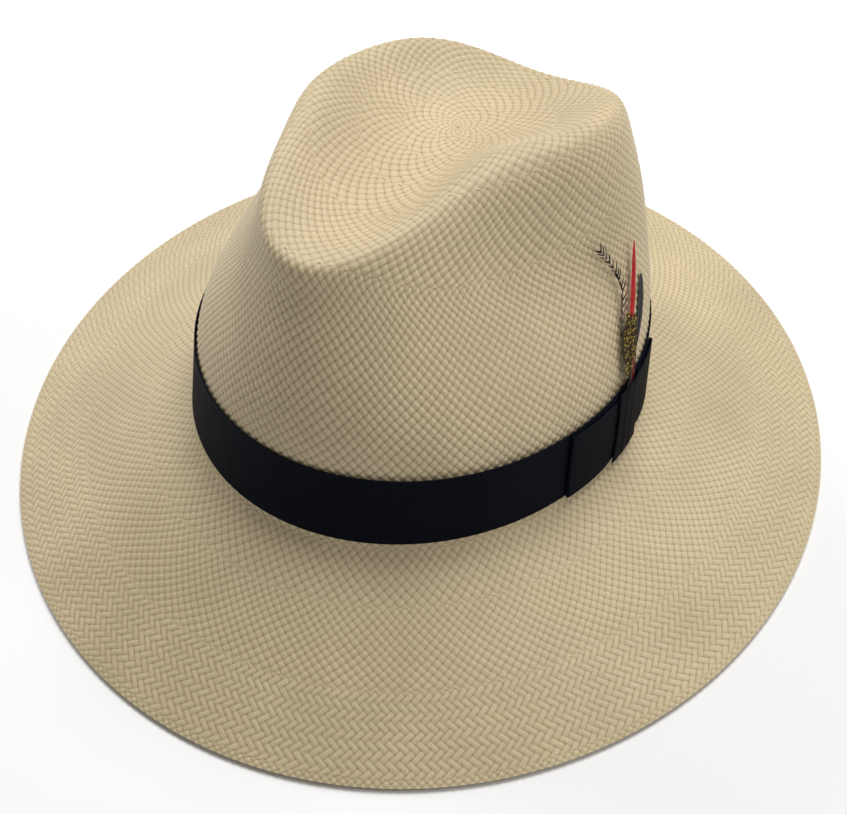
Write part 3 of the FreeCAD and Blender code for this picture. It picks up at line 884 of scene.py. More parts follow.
    @staticmethod
    def fast_mesh(name: str, points: np.ndarray, quads: np.ndarray,
                  tris: np.ndarray) -> bpy.types.Object:
        """Makes a mesh object from whole arrays.

        Args:
            name: the piece's name.
            points: its vertices in metres.
            quads: vertex numbers of each face of four.
            tris: vertex numbers of each face of three.

        Returns:
            The new object, linked to the scene.
        """
        mesh = bpy.data.meshes.new(name)
        loops = np.concatenate([quads.ravel(), tris.ravel()]).astype(np.int32)
        mesh.polygons.add(len(quads) + len(tris))
        starts = np.concatenate([np.arange(len(quads)) * 4,
                                 len(quads) * 4 + np.arange(len(tris)) * 3]).astype(np.int32)
        mesh.vertices.add(len(points))
        mesh.vertices.foreach_set("co", points.astype(np.float32).ravel())
        mesh.loops.add(len(loops))
        mesh.loops.foreach_set("vertex_index", loops)
        mesh.polygons.foreach_set("loop_start", starts)
        mesh.polygons.foreach_set("use_smooth", [True] * len(starts))
        mesh.update(calc_edges=True)
        mesh.validate()
        piece = bpy.data.objects.new(name, mesh)
        bpy.context.scene.collection.objects.link(piece)
        return piece

    @staticmethod
    def paint(piece: bpy.types.Object, tint: np.ndarray, gap: np.ndarray,
              a: np.ndarray, b: np.ndarray, strands: int) -> None:
        """Stores each point's shade, its painted gap shade, and the strand map.

        Args:
            piece: the ring.
            tint: each point's strand shade, 0 to 1.
            gap: painted shade, how far each point lies in a gap, 0 to 1.
            a: each point's place across the first family of strands.
            b: the same across the second.
            strands: strands in each family.
        """
        mesh = piece.data
        for key, values in (("strand_tint", tint), ("strand_gap_shade", gap)):
            layer = mesh.attributes.new(key, "FLOAT", "POINT")
            layer.data.foreach_set("value", values.astype(np.float32))
        loops = np.empty(len(mesh.loops), dtype=np.int32)
        mesh.loops.foreach_get("vertex_index", loops)
        starts = np.empty(len(mesh.polygons), dtype=np.int32)
        mesh.polygons.foreach_get("loop_start", starts)
        totals = np.empty(len(mesh.polygons), dtype=np.int32)
        mesh.polygons.foreach_get("loop_total", totals)
        anchor = np.repeat(loops[starts], totals)
        ring = (a - b)[loops] / 2
        ring += np.round(((a - b)[anchor] / 2 - ring) / strands) * strands
        row = (a + b)[loops] / 2
        layer = mesh.uv_layers.new(name="strand")
        layer.data.foreach_set("uv", np.stack([ring, row], axis=1).astype(np.float32).ravel())


# ------------------------------------------------------------ cloth helpers
def smooth_step(value: float) -> float:
    """Eases a share from 0 to 1."""
    value = min(max(value, 0.0), 1.0)
    return value * value * (3 - 2 * value)


@dataclass(frozen=True)
class BandWall:
    """The ribbon's inner face: a slightly tapered ellipse on the crown."""

    half_x: float = 85.4
    half_y: float = 102.4
    taper: float = 1.6
    foot: float = 2.6
    top: float = 32.4

    def point(self, angle: float, height: float, stand: float) -> np.ndarray:
        """Finds a place near the wall.

        Args:
            angle: degrees round the crown.
            height: mm above the crown's foot.
            stand: mm outward from the wall.

        Returns:
            The place in the hat's frame, in millimetres.
        """
        shrink = self.taper * (height - self.foot) / (self.top - self.foot)
        a, b = self.half_x - shrink, self.half_y - shrink
        s, c = math.sin(math.radians(angle)), math.cos(math.radians(angle))
        out = np.array([s / a, -c / b, 0.0])
        out /= np.linalg.norm(out)
        return CROWN.to_hat(np.array([a * s, -b * c, height]) + out * stand)


BAND_WALL = BandWall()
SWEAT_WALL = BandWall(half_x=82.35, half_y=99.35, taper=3.4, foot=1.6, top=34.0)


@dataclass(frozen=True)
class ClothStrip:
    """A strip of cloth laid over a grid, thickened and softly edged.

    place maps (share across the width, share along the length) to a point in
    millimetres; size is the strip's real width and length in millimetres.
    """

    name: str
    place: Callable[[float, float], np.ndarray]
    size: tuple[float, float]
    across: int
    along: int
    thick: float
    closed: bool = False

    def build(self) -> bpy.types.Object:
        """Builds the strip with its cloth map.

        Returns:
            The strip as one closed solid.
        """
        clear_selection()
        bpy.ops.mesh.primitive_grid_add(x_subdivisions=self.across,
                                        y_subdivisions=self.along, size=2.0)
        piece = bpy.context.active_object
        piece.name = self.name
        piece.data.name = self.name
        mesh = piece.data
        layer = mesh.uv_layers.active or mesh.uv_layers.new(name="cloth")
        layer.name = "cloth"
        for loop in mesh.loops:
            flat = mesh.vertices[loop.vertex_index].co
            layer.data[loop.index].uv = ((flat.y + 1) / 2 * self.size[1] * MM,
                                         (flat.x + 1) / 2 * self.size[0] * MM)
        for vertex in mesh.vertices:
            vertex.co = Vector(self.place((vertex.co.x + 1) / 2, (vertex.co.y + 1) / 2)) * MM
        if self.closed:
            self.whole_mesh(bpy.ops.mesh.remove_doubles, threshold=0.01 * MM)
        body = piece.modifiers.new("thickness", "SOLIDIFY")
        body.thickness = self.thick * MM
        body.offset = 0.0
        body.use_even_offset = True
        bpy.ops.object.modifier_apply(modifier=body.name)
        self.whole_mesh(bpy.ops.mesh.normals_make_consistent, inside=False)
        bpy.ops.object.shade_smooth_by_angle(angle=math.radians(50))
        return piece

    @staticmethod
    def whole_mesh(operator: Callable[..., object], **values: object) -> None:
        """Runs a mesh operator on all of the active piece."""
        bpy.ops.object.mode_set(mode="EDIT")
        bpy.ops.mesh.select_all(action="SELECT")
        operator(**values)
        bpy.ops.object.mode_set(mode="OBJECT")


@dataclass(frozen=True)
class GrosgrainFinish:
    """Near-black ribbon with fine ribs across its length."""

    name: str = "grosgrain_ribbon"
    rib: float = 0.0011            # metres from rib to rib
    thread: float = 0.0004         # metres from thread to thread
    colour: Colour = (0.0026, 0.0041, 0.0080)
    # worn tone in random patches, also the colour of the painted highlight on the rib crests
    wear_and_rib_highlight: Colour = (0.0042, 0.0062, 0.0112)

    def material(self) -> bpy.types.Material:
        """Builds the ribbon's material."""
        board = NodeBoard(self.name)
        parts = board.add("SeparateXYZ")
        board.link(board.add("UVMap", uv_map="cloth").outputs["UV"], parts.inputs[0])
        wave, threads = (
            board.math("SINE", board.math("MULTIPLY", parts.outputs[axis], 2 * math.pi / step))
            for axis, step in (("X", self.rib), ("Y", self.thread)))
        rib = board.math("MULTIPLY_ADD", wave, 0.5)
        height = board.math("ADD", rib, board.math("MULTIPLY", threads, 0.10))
        base = board.ramp(board.noise(45.0, 4.0), ((0.3, self.colour), (0.75, self.wear_and_rib_highlight)))
        # painted highlight: the rib crests lighter, mixed toward the worn tone
        base = board.mix(board.math("MULTIPLY", rib, 0.35), base, self.wear_and_rib_highlight)
        board.link(base, board.shader.inputs["Base Color"])
        board.surface(roughness=0.62, specular=0.035)
        board.bump(height, 0.00014, 0.8)
        return board.material


@dataclass
class RibbonTrim:
    """Hat band and its flat side bow: two loops under a crosswise wrap."""

    thick: float = 0.55
    width: float = 29.8            # the band's, and its length below
    length: float = 592.5
    loop_width: float = 29.6
    wrap_size: tuple[float, float] = (19.3, 34.0)
    front: tuple[float, float] = (87.3, 70.0)      # angles at the wrap and at the fold
    rear: tuple[float, float] = (97.3, 109.0)
    knot: tuple[float, float] = (85.7, 96.7)       # the wrap's two edges
    degree: float = 1.75           # mm of ribbon to one degree at the bow

    def build(self) -> list[bpy.types.Object]:
        """Builds the band and the bow.

        Returns:
            Band, front loop, rear loop and wrap.
        """
        material = GrosgrainFinish().material()
        band = self.band()
        front = self.loop("bow_front_ribbon", self.front, 0.0)
        rear = self.loop("bow_rear_ribbon", self.rear, 0.10)
        knot = self.wrap()
        for piece, node in ((band, "hat_band"), (front, "bow_front_loop"),
                            (rear, "bow_rear_loop"), (knot, "bow_knot")):
            dress(piece, material)
            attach(piece, ROOT)
            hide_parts(node)
        return [band, front, rear, knot]

    def band(self) -> bpy.types.Object:
        """Lays the ribbon round the crown, its edges standing out a little."""
        def place(v: float, u: float) -> np.ndarray:
            """Puts a share of the width and of the length on the crown's foot."""
            edge = max(0.0, 1 - min(v, 1 - v) / 0.04)
            wave = 0.02 * math.sin(u * 44.0) * math.sin(v * 3.1)
            return BAND_WALL.point(91.0 + 360.0 * u, BAND_WALL.foot + self.width * v,
                                   0.31 + 0.05 * edge + wave)
        return ClothStrip("band_ribbon", place, (self.width, self.length), 30, 420,
                          self.thick, closed=True).build()

    def loop(self, name: str, reach: tuple[float, float], droop: float) -> bpy.types.Object:
        """A ribbon doubled back on itself and gathered under the wrap.

        Args:
            name: the piece's name.
            reach: angles at the wrap and at the fold.
            droop: mm that the outer leaf sinks under the wrap.

        Returns:
            The loop.
        """
        start, fold = reach
        way = 1.0 if fold > start else -1.0
        low, high = 1.08, 2.06         # stand-off of the two leaves
        radius, middle = (high - low) / 2, (high + low) / 2
        turn = fold - way * 0.75 / self.degree
        leaf = abs(turn - start) * self.degree
        bend = math.pi * radius
        total = 2 * leaf + bend

        def place(v: float, u: float) -> np.ndarray:
            """Follows the under leaf, the fold and the gathered outer leaf."""
            run = u * total
            height = 2.7 + 29.4 * v
            if run < leaf:
                f = run / leaf
                return BAND_WALL.point(start + (turn - start) * f, height, low)
            if run < leaf + bend:
                q = (run - leaf) / radius - math.pi / 2
                return BAND_WALL.point(turn + way * radius / self.degree * math.cos(q), height,
                                       middle + radius * math.sin(q))
            f = (run - leaf - bend) / leaf
            pinch = smooth_step((f - 0.68) / 0.32)
            squeeze = 17.4 + (height - 17.4) * (1 - 0.10 * pinch)
            pleat = 0.16 * pinch * math.sin(v * 15.0 + f * 2.0)
            puff = (0.22 * math.sin(math.pi * min(f * 1.15, 1.0))
                    * (0.55 + 0.45 * math.sin(math.pi * v)))
            return BAND_WALL.point(turn + (start - turn) * f, squeeze,
                                   high + puff + pleat - droop * pinch)
        return ClothStrip(name, place, (self.loop_width, total), 26, 110, 0.5).build()

    def wrap(self) -> bpy.types.Object:
        """The crosswise ribbon, gathered into soft pleats that run up it."""
        low, high = self.knot

        def place(v: float, u: float) -> np.ndarray:
            """Crosses the band from below (u 0) to above (u 1), pleated in v."""
            waist = 1 - 0.10 * math.sin(math.pi * u)
            angle = (low + high) / 2 + (high - low) * (v - 0.5) * waist + 0.5 * (u - 0.5)
            crown = math.sin(math.pi * min(max(v, 0.0), 1.0)) ** 0.6
            pleat = (0.17 * math.sin(v * 21.0 + math.sin(u * 3.0) * 0.9)
                     * (0.5 + 0.5 * math.sin(math.pi * u)))
            tuck = 0.30 * (smooth_step((0.06 - u) / 0.06) + smooth_step((u - 0.94) / 0.06))
            return BAND_WALL.point(angle, 1.9 + 32.8 * u, 2.88 + (0.52 + pleat - tuck) * crown)
        return ClothStrip("bow_wrap_ribbon", place, self.wrap_size, 44, 60, 0.5).build()


# --------------------------------------------------------------- sweatband
@dataclass(frozen=True)
class LeatherFinish:
    """Soft tan hatter's leather with a fine grain."""

    def material(self) -> bpy.types.Material:
        """Builds the leather's material."""
        board = NodeBoard("sweatband_leather")
        cloud = board.noise(38.0, 5.0)
        grain = board.add("TexVoronoi", feature="DISTANCE_TO_EDGE")
        grain.inputs["Scale"].default_value = 1400.0
        board.link(board.object_place(), grain.inputs["Vector"])
        base = board.ramp(cloud, ((0.3, (0.26, 0.135, 0.055)), (0.7, (0.37, 0.205, 0.092))))
        board.link(base, board.shader.inputs["Base Color"])
        rough = board.math("MULTIPLY_ADD", cloud, 0.25)
        board.link(board.math("ADD", rough, 0.05), board.shader.inputs["Roughness"])
        board.bump(board.math("MINIMUM", grain.outputs["Distance"], 0.18), 0.0004, 0.7)
        return board.material


@dataclass(frozen=True)
class ThreadFinish:
    """Twisted thread or cord with slanting plies."""

    name: str
    colour: Colour
    pitch: float = 0.0009          # metres from ply to ply

    def material(self) -> bpy.types.Material:
        """Builds the thread's material."""
        board = NodeBoard(self.name)
        plies = board.add("TexWave", bands_direction="DIAGONAL")
        plies.inputs["Scale"].default_value = 0.315 / self.pitch
        plies.inputs["Distortion"].default_value = 1.5
        board.link(board.object_place(), plies.inputs["Vector"])
        # painted shade: the plies darker in the grooves between them, following the bump
        dark = tuple(c * 0.72 for c in self.colour)
        base = board.mix(plies.outputs["Fac"], dark, self.colour)
        board.link(base, board.shader.inputs["Base Color"])
        board.surface(roughness=0.7, sheen=0.15)
        board.bump(board.math("ADD", plies.outputs["Fac"], board.noise(900.0)), 0.0001, 0.8)
        return board.material


@dataclass
class SweatbandSet:
    """Leather band inside the crown, its welt cord, stitches and small bow."""

    nodes: dict[str, bpy.types.Object]

    def build(self) -> list[bpy.types.Object]:
        """Builds the soft pieces and dresses the firm ones.

        Returns:
            The new pieces.
        """
        def place(v: float, u: float) -> np.ndarray:
            """Runs round the inside from the centre back, with its foot turned in."""
            sway = 0.05 * math.sin(u * 50.0) * math.sin(math.pi * v)
            roll = 0.05 * max(0.0, 1 - v / 0.08)
            return SWEAT_WALL.point(180.0 + 360.0 * u, SWEAT_WALL.foot + 32.4 * v, sway - roll)
        band = ClothStrip("sweatband_strip", place, (32.4, 562.0), 28, 360,
                          1.05, closed=True).build()
        dress(band, LeatherFinish().material())
        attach(band, ROOT)
        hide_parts("sweatband")
        bow = self.small_bow()
        dress(self.nodes["sweatband_reed"],
              ThreadFinish("welt_cord", (0.40, 0.235, 0.11), 0.0016).material())
        dress(self.nodes["sweatband_stitches"],
              ThreadFinish("sewing_thread", (0.60, 0.47, 0.29)).material())
        return [band, *bow]

    @staticmethod
    def small_bow() -> list[bpy.types.Object]:
        """The little ribbon bow that marks the sweatband's back."""
        material = GrosgrainFinish("inner_bow_ribbon", rib=0.0008, colour=(0.020, 0.012, 0.008),
                                   wear_and_rib_highlight=(0.04, 0.026, 0.017)).material()
        middle, stand = 9.25, -1.95    # height of the bow, and its place inside the leather
        made = []
        for name, side in (("inner_bow_left", 1.0), ("inner_bow_right", -1.0)):
            def place(v: float, u: float, side: float = side) -> np.ndarray:
                """Runs out from the knot and back, gathered at the knot."""
                turn = 2 * math.pi * u
                run = (1 - math.cos(turn)) / 2
                gather = 0.62 + 0.38 * smooth_step(run * 1.6)
                height = middle + (v - 0.5) * 5.9 * gather
                angle = 180.0 + side * (0.75 + run * 4.0)
                return SWEAT_WALL.point(angle, height, stand - 0.48 * math.sin(turn) * gather)
            made.append(ClothStrip(name, place, (5.9, 16.0), 10, 40, 0.35, closed=True).build())

        def ring(v: float, u: float) -> np.ndarray:
            """Goes once round the two loops."""
            turn = 2 * math.pi * u
            return SWEAT_WALL.point(180.0 + (v - 0.5) * 1.55, middle + 1.75 * math.cos(turn),
                                    stand + 0.85 * math.sin(turn))
        made.append(ClothStrip("inner_bow_knot", ring, (2.8, 9.0), 8, 32, 0.3, closed=True).build())
        for piece in made:
            dress(piece, material)
            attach(piece, ROOT)
            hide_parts("sweatband_bow")
        return made


# ---------------------------------------------------------------- feathers
class StrandBundle:
    """Many thin tapered strands gathered into one mesh."""

    def __init__(self) -> None:
        """Starts with no strands."""
        self.points: list[np.ndarray] = []
        self.faces: list[tuple[int, ...]] = []
        self.tints: list[float] = []

    def add(self, path: np.ndarray, radii: np.ndarray, out: np.ndarray, tint: float,
            flat: float = 1.0, sides: int = 4) -> None:
        """Adds one strand.

        Args:
            path: its middle line in millimetres, one row to a point.
            radii: its half width at each point.
            out: the direction it is thinnest in.
            tint: the shade stored on its points, 0 to 1.
            flat: its thickness as a share of its width.
            sides: corners of its section.
        """
        first = len(self.tints)
        along = np.gradient(path, axis=0)
        along /= np.maximum(np.linalg.norm(along, axis=1, keepdims=True), 1e-9)
        side = np.cross(out, along)
        side /= np.maximum(np.linalg.norm(side, axis=1, keepdims=True), 1e-9)
        lift = np.cross(along, side)
        turn = 2 * math.pi * np.arange(sides) / sides
        ring = (np.cos(turn)[None, :, None] * side[:, None]
                + flat * np.sin(turn)[None, :, None] * lift[:, None])
        body = path[:, None] + ring * radii[:, None, None]
        self.points.append(body.reshape(-1, 3))
        self.tints += [tint] * (len(path) * sides)
        for i in range(len(path) - 1):
            for k in range(sides):
                a, b = first + i * sides + k, first + i * sides + (k + 1) % sides
                self.faces.append((a, b, b + sides, a + sides))
        last = first + (len(path) - 1) * sides
        self.faces.append(tuple(first + k for k in range(sides))[::-1])
        self.faces.append(tuple(last + k for k in range(sides)))

    def build(self, name: str) -> bpy.types.Object:
        """Makes the piece, shaded smooth."""
        piece = new_piece(name, np.concatenate(self.points) * MM, self.faces)
        layer = piece.data.attributes.new("strand_tint", "FLOAT", "POINT")
        layer.data.foreach_set("value", np.array(self.tints, dtype=np.float32))
        shade_smooth(piece)
        return piece


class CrownWall:
    """Finds places on the straw's outer face by angle and height."""

    def __init__(self, form: HatForm) -> None:
        """Keeps the form and a fine row of parameters."""
        self.form = form
        self.along = np.linspace(0.28, 0.76, 900)

    def place(self, angle: float, height: float, stand: float) -> tuple[np.ndarray, np.ndarray]:
        """Finds a place near the straw.

        Args:
            angle: degrees round the crown.
            height: mm above the crown's foot.
            stand: mm outward from the straw.

        Returns:
            The place in millimetres, and the way outward there.
        """
        three = self.form.surface(self.along, np.array([angle - 0.5, angle, angle + 0.5]))
        tip = math.radians(CROWN.tilt)
        level = ((three[:, 1, 2] - CROWN.lift) * math.cos(tip) + three[:, 1, 1] * math.sin(tip))
        i = int(np.argmax(level < height))
        normal = np.cross(three[i, 2] - three[i, 0], three[i + 1, 1] - three[i - 1, 1])
        normal /= np.linalg.norm(normal)
        if normal @ (three[i, 1] - np.array([0, 0, 60.0])) < 0:
            normal = -normal
        return three[i, 1] + normal * stand, normal


class FeatherKind(Enum):
    """The four feathers' colourings."""

    RED = "red"
    DARK = "dark"
    MOTTLED = "mottled"
    CURL = "curl"


@dataclass(frozen=True)
class FeatherFinish:
    """A feather's colouring, by kind."""

    kind: FeatherKind

    def material(self) -> bpy.types.Material:
        """Builds the feather's material."""
        board = NodeBoard(f"feather_{self.kind.value}")
        tint = board.attribute("strand_tint")
        stops = {
            FeatherKind.RED: ((0.0, (0.20, 0.005, 0.008)), (0.5, (0.40, 0.010, 0.014)),
                              (0.9, (0.52, 0.022, 0.022)), (1.0, (0.50, 0.05, 0.04))),
            FeatherKind.DARK: ((0.0, (0.008, 0.008, 0.009)), (0.6, (0.024, 0.024, 0.026)),
                               (0.9, (0.11, 0.105, 0.095)), (1.0, (0.50, 0.45, 0.36))),
            FeatherKind.MOTTLED: ((0.0, (0.012, 0.006, 0.004)), (0.6, (0.030, 0.014, 0.007)),
                                  (0.9, (0.060, 0.026, 0.011)), (1.0, (0.50, 0.42, 0.28))),
            FeatherKind.CURL: ((0.0, (0.012, 0.010, 0.010)), (0.35, (0.10, 0.075, 0.06)),
                               (0.7, (0.46, 0.38, 0.33)), (1.0, (0.62, 0.53, 0.45))),
        }[self.kind]
        base = board.ramp(tint, stops)
        if self.kind is FeatherKind.MOTTLED:
            flecks = board.add("TexVoronoi", feature="F1")
            flecks.inputs["Scale"].default_value = 950.0
            flecks.inputs["Randomness"].default_value = 0.85
            board.link(board.object_place(), flecks.inputs["Vector"])
            spot = board.ramp(flecks.outputs["Distance"], ((0.30, (1, 1, 1)), (0.44, (0, 0, 0))))
            quill = board.math("LESS_THAN", tint, 0.96)
            base = board.mix(board.math("MULTIPLY", spot, quill), base, (0.42, 0.29, 0.035))
        streak = board.noise(700.0)
        shade = board.ramp(streak, ((0.3, (0.72, 0.72, 0.72)), (0.7, (1.12, 1.12, 1.12))))
        board.link(board.mix(1.0, base, shade, "MULTIPLY"), board.shader.inputs["Base Color"])
        board.surface(roughness=0.55, specular=0.12)
        board.bump(streak, 0.00006, 0.6)
        return board.material


@dataclass(frozen=True)
class FeatherPlan:
    """One feather: its quill's place and its stations up the wall.

    Each station is (angle, height, stand-off, width).
    """

    name: str
    node: str
    slot: str
    kind: FeatherKind
    offset: float
    stations: tuple[tuple[float, float, float, float], ...]
    barb_gap: float = 0.30                         # mm from barb to barb
    lean: tuple[float, float] = (52.0, 24.0)       # barbs' angle to the shaft, foot and tip


@dataclass(frozen=True)
class Spine:
    """A feather's middle line, finely sampled, in millimetres."""

    points: np.ndarray
    outs: np.ndarray               # ways outward from the straw
    widths: np.ndarray
    run: np.ndarray                # length from the start
    bare: float                    # length of bare quill

    def at(self, share: float) -> tuple[int, np.ndarray]:
        """The sample at a share of the feathered length, and the way along there."""
        length = self.bare + share * (self.run[-1] - self.bare)
        i = min(max(int(np.searchsorted(self.run, length)), 1), len(self.points) - 2)
        along = self.points[i + 1] - self.points[i - 1]
        return i, along / np.linalg.norm(along)


@dataclass
class FeatherSpray:
    """Four feathers whose quills are bound and tucked behind the bow."""

    wall: CrownWall
    angle: float = 93.5            # where the quills leave the bow
    height: float = 36.0
    stand: float = 1.6
    slant: float = 25.0            # degrees that they lean back
    tuck: float = 15.0             # mm of quill inside the bow
    pitch: float = 1.1             # mm from quill to quill
    shaft_radii: Values = (0.30, 0.24, 0.09)       # mm at the end, the tuck and the tip
    plans: tuple[FeatherPlan, ...] = (
        FeatherPlan(
            "feather_mottled_barbs", "feather_mottled", "feather_brown", FeatherKind.MOTTLED, -0.5,
            ((93.0, 36.6, 2.6, 6.0), (91.8, 39.4, 3.0, 9.6), (92.6, 42, 3.05, 11.8),
             (94.2, 46, 3.0, 12.0), (96.3, 49.5, 2.85, 8.8), (98.2, 52.5, 2.7, 1.4)),
            barb_gap=0.22, lean=(80.0, 28.0)),
        FeatherPlan("feather_red_barbs", "feather_red", "feather_red", FeatherKind.RED, 0.5, (
            (95.6, 41, 1.9, 0.8), (96.6, 45.5, 1.85, 2.0), (98.0, 50.5, 1.85, 3.6),
            (102.4, 58, 2.1, 4.0), (106.4, 66, 2.4, 3.2), (109.0, 72, 2.5, 1.7),
            (110.3, 75, 2.5, 0.3))),
        FeatherPlan("feather_black_barbs", "feather_black", "feather_dark", FeatherKind.DARK, 1.5, (
            (97.4, 40.5, 1.5, 0.8), (99.6, 43, 1.2, 4.2), (102.8, 47, 1.0, 6.4),
            (105.8, 51.5, 1.0, 6.2), (108.4, 56, 1.0, 4.0), (110.2, 60, 1.0, 0.4))),
        FeatherPlan("feather_curl_tufts", "feather_curl", "feather_pale", FeatherKind.CURL, -1.5, (
            (91.9, 42, 1.2, 0.6), (92.9, 48, 1.2, 0.6), (94.8, 53.5, 1.4, 0.6),
            (97.6, 58.5, 1.8, 0.6), (99.9, 63.5, 2.2, 0.6), (100.2, 69.3, 2.5, 0.5),
            (99.3, 74.8, 2.7, 0.5), (98.0, 80, 2.8, 0.4))),
    )

    def build(self) -> list[bpy.types.Object]:
        """Builds the feathers and the thread that binds them.

        Returns:
            The feathers, then the binding.
        """
        pieces = []
        for plan in self.plans:
            piece = self.feather(plan)
            dress(piece, FeatherFinish(plan.kind).material())
            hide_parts(plan.node)
            pieces.append(piece)
        binding = self.binding()
        dress(binding, ThreadFinish("binding_thread", (0.055, 0.050, 0.048)).material())
        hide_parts("feather_binding")
        pieces.append(binding)
        for piece in pieces:
            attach(piece, SPRAY)
        return pieces

    def tuck_frame(self) -> tuple[np.ndarray, np.ndarray, np.ndarray, np.ndarray]:
        """Sets out the tuck.

        Returns:
            Where the quills leave the bow, and the ways out of the band, along
            the quills and across them.
        """
        leave = BAND_WALL.point(self.angle, self.height, self.stand)
        out = BAND_WALL.point(self.angle, self.height, 5.0) - leave
        out /= np.linalg.norm(out)
        flat = CROWN.turn(np.array([0.0, 0.0, 1.0]))
        level = np.cross(flat, out)
        level /= np.linalg.norm(level)
        slope = BAND_WALL.taper / (BAND_WALL.top - BAND_WALL.foot)
        rise = flat - out * slope
        rise /= np.linalg.norm(rise)
        lean = math.radians(self.slant)
        slide = rise * math.cos(lean) + level * math.sin(lean)
        slide /= np.linalg.norm(slide)
        across = -np.cross(out, slide)
        return leave, out, slide, across / np.linalg.norm(across)

    def spine(self, plan: FeatherPlan) -> Spine:
        """Runs a feather's middle line from the tuck through its stations.

        Args:
            plan: the feather.

        Returns:
            The smoothed line.
        """
        leave, out, slide, across = self.tuck_frame()
        root = leave + across * (plan.offset * self.pitch)
        knots = [(root - slide * (self.tuck * f), out, 0.0) for f in (1.0, 0.5, 0.0)]
        for angle, height, stand, width in plan.stations:
            point, normal = self.wall.place(angle, height, stand)
            knots.append((point, normal, width))
        spots = np.array([k[0] for k in knots])
        run = np.concatenate([[0.0], np.cumsum(np.linalg.norm(np.diff(spots, axis=0), axis=1))])
        table = np.column_stack([spots, np.array([k[1] for k in knots]), [k[2] for k in knots]])
        fine = np.linspace(0, run[-1], 300)
        rows = np.column_stack([np.interp(fine, run, table[:, i]) for i in range(7)])
        for _ in range(60):
            rows[1:-1] = (rows[:-2] + 2 * rows[1:-1] + rows[2:]) / 4
        points = rows[:, :3]
        outs = rows[:, 3:6] / np.linalg.norm(rows[:, 3:6], axis=1, keepdims=True)
        steps = np.linalg.norm(np.diff(points, axis=0), axis=1)
        return Spine(points, outs, rows[:, 6], np.concatenate([[0.0], np.cumsum(steps)]),
                     float(run[3]))

    def feather(self, plan: FeatherPlan) -> bpy.types.Object:
        """Builds one feather's shaft and barbs."""
        spine = self.spine(plan)
        bundle = StrandBundle()
        pick = np.linspace(0, len(spine.points) - 1, 46).astype(int)
        radii = np.interp(spine.run[pick], [0, spine.bare, spine.run[-1]], self.shaft_radii)
        shades = {FeatherKind.DARK: 0.25, FeatherKind.CURL: 0.42, FeatherKind.MOTTLED: 0.3}
        bundle.add(spine.points[pick], radii, spine.outs[pick], shades.get(plan.kind, 1.0), sides=6)
        if plan.kind is FeatherKind.CURL:
            self.tufts(bundle, spine)
        else:
            self.barbs(bundle, plan, spine)
        return bundle.build(plan.name)

    @staticmethod
    def barbs(bundle: StrandBundle, plan: FeatherPlan, spine: Spine) -> None:
        """Adds both rows of barbs along a shaft.

        Args:
            bundle: what the barbs are added to.
            plan: the feather.
            spine: its middle line.
        """
        count = int((spine.run[-1] - spine.bare) / plan.barb_gap)
        steps = np.linspace(0, 1, 5)[:, None]
        thin = np.interp(steps[:, 0], [0, 0.8, 1], [0.20, 0.17, 0.04])
        first_lean, last_lean = plan.lean
        for k in range(count):
            f = k / (count - 1)
            i, along = spine.at(f * 0.985)
            out = spine.outs[i]
            for side in (-1.0, 1.0):
                chance = float(hash01(np.array([k]), np.array([int(side) + 5]),
                                      seed=len(plan.name))[0])
                lean = math.radians(first_lean + (last_lean - first_lean) * f + 6 * (chance - 0.5))
                across = np.cross(out, along) * side
                length = spine.widths[i] / 2 / math.sin(lean) * (0.9 + 0.16 * chance)
                if length < 0.15:
                    continue
                way = along * math.cos(lean) + across * math.sin(lean)
                sink = 0.04 if side > 0 else 0.0       # keeps the rows apart at the shaft
                path = (spine.points[i] + way * length * steps
                        + (along * 0.22 - across * 0.10 - out * 0.025) * length * steps ** 2
                        - out * sink)
                bundle.add(path, thin, out, 0.1 + 0.8 * chance, flat=0.25)

    @staticmethod
    def tufts(bundle: StrandBundle, spine: Spine) -> None:
        """Adds the small dark and pale tufts left on the stripped feather.

        Args:
            bundle: what the tufts are added to.
            spine: the feather's middle line.
        """
        # share of the length, shade (dark 0, pale 1), length in mm, number of barbs
        groups = (
            (0.20, 0.45, 1.8, 7), (0.30, 0.60, 2.4, 9), (0.37, 0.82, 3.3, 26),
            (0.43, 0.70, 3.0, 24), (0.485, 0.30, 2.2, 10), (0.56, 0.02, 2.7, 34),
            (0.60, 0.0, 2.4, 24), (0.665, 0.02, 2.8, 34), (0.70, 0.10, 2.2, 12),
            (0.735, 0.70, 3.0, 22), (0.79, 0.30, 1.9, 9), (0.85, 0.04, 2.4, 14),
            (0.90, 0.78, 3.1, 24), (0.945, 0.55, 2.6, 14), (0.985, 0.02, 2.4, 14))
        steps = np.linspace(0, 1, 4)[:, None]
        thin = np.interp(steps[:, 0], [0, 0.7, 1], [0.40, 0.30, 0.05])
        for g, (share, tint, length, count) in enumerate(groups):
            for k in range(count):
                a, b, c = (float(hash01(np.array([g]), np.array([k]), seed=s)[0])
                           for s in (11, 12, 13))
                i, along = spine.at(share + (a - 0.5) * 0.035)
                out = spine.outs[i]
                across = np.cross(out, along) * (1 if k % 2 else -1)
                lean = math.radians(34 + 46 * b)
                way = along * math.cos(lean) + across * math.sin(lean) + out * 0.25 * (c - 0.3)
                reach = length * (0.75 + 0.6 * c)
                path = spine.points[i] + way * reach * steps + along * 0.3 * reach * steps ** 2
                shade = min(max(tint + 0.2 * (b - 0.5), 0.0), 1.0)
                bundle.add(path, thin, out, shade, flat=0.5)

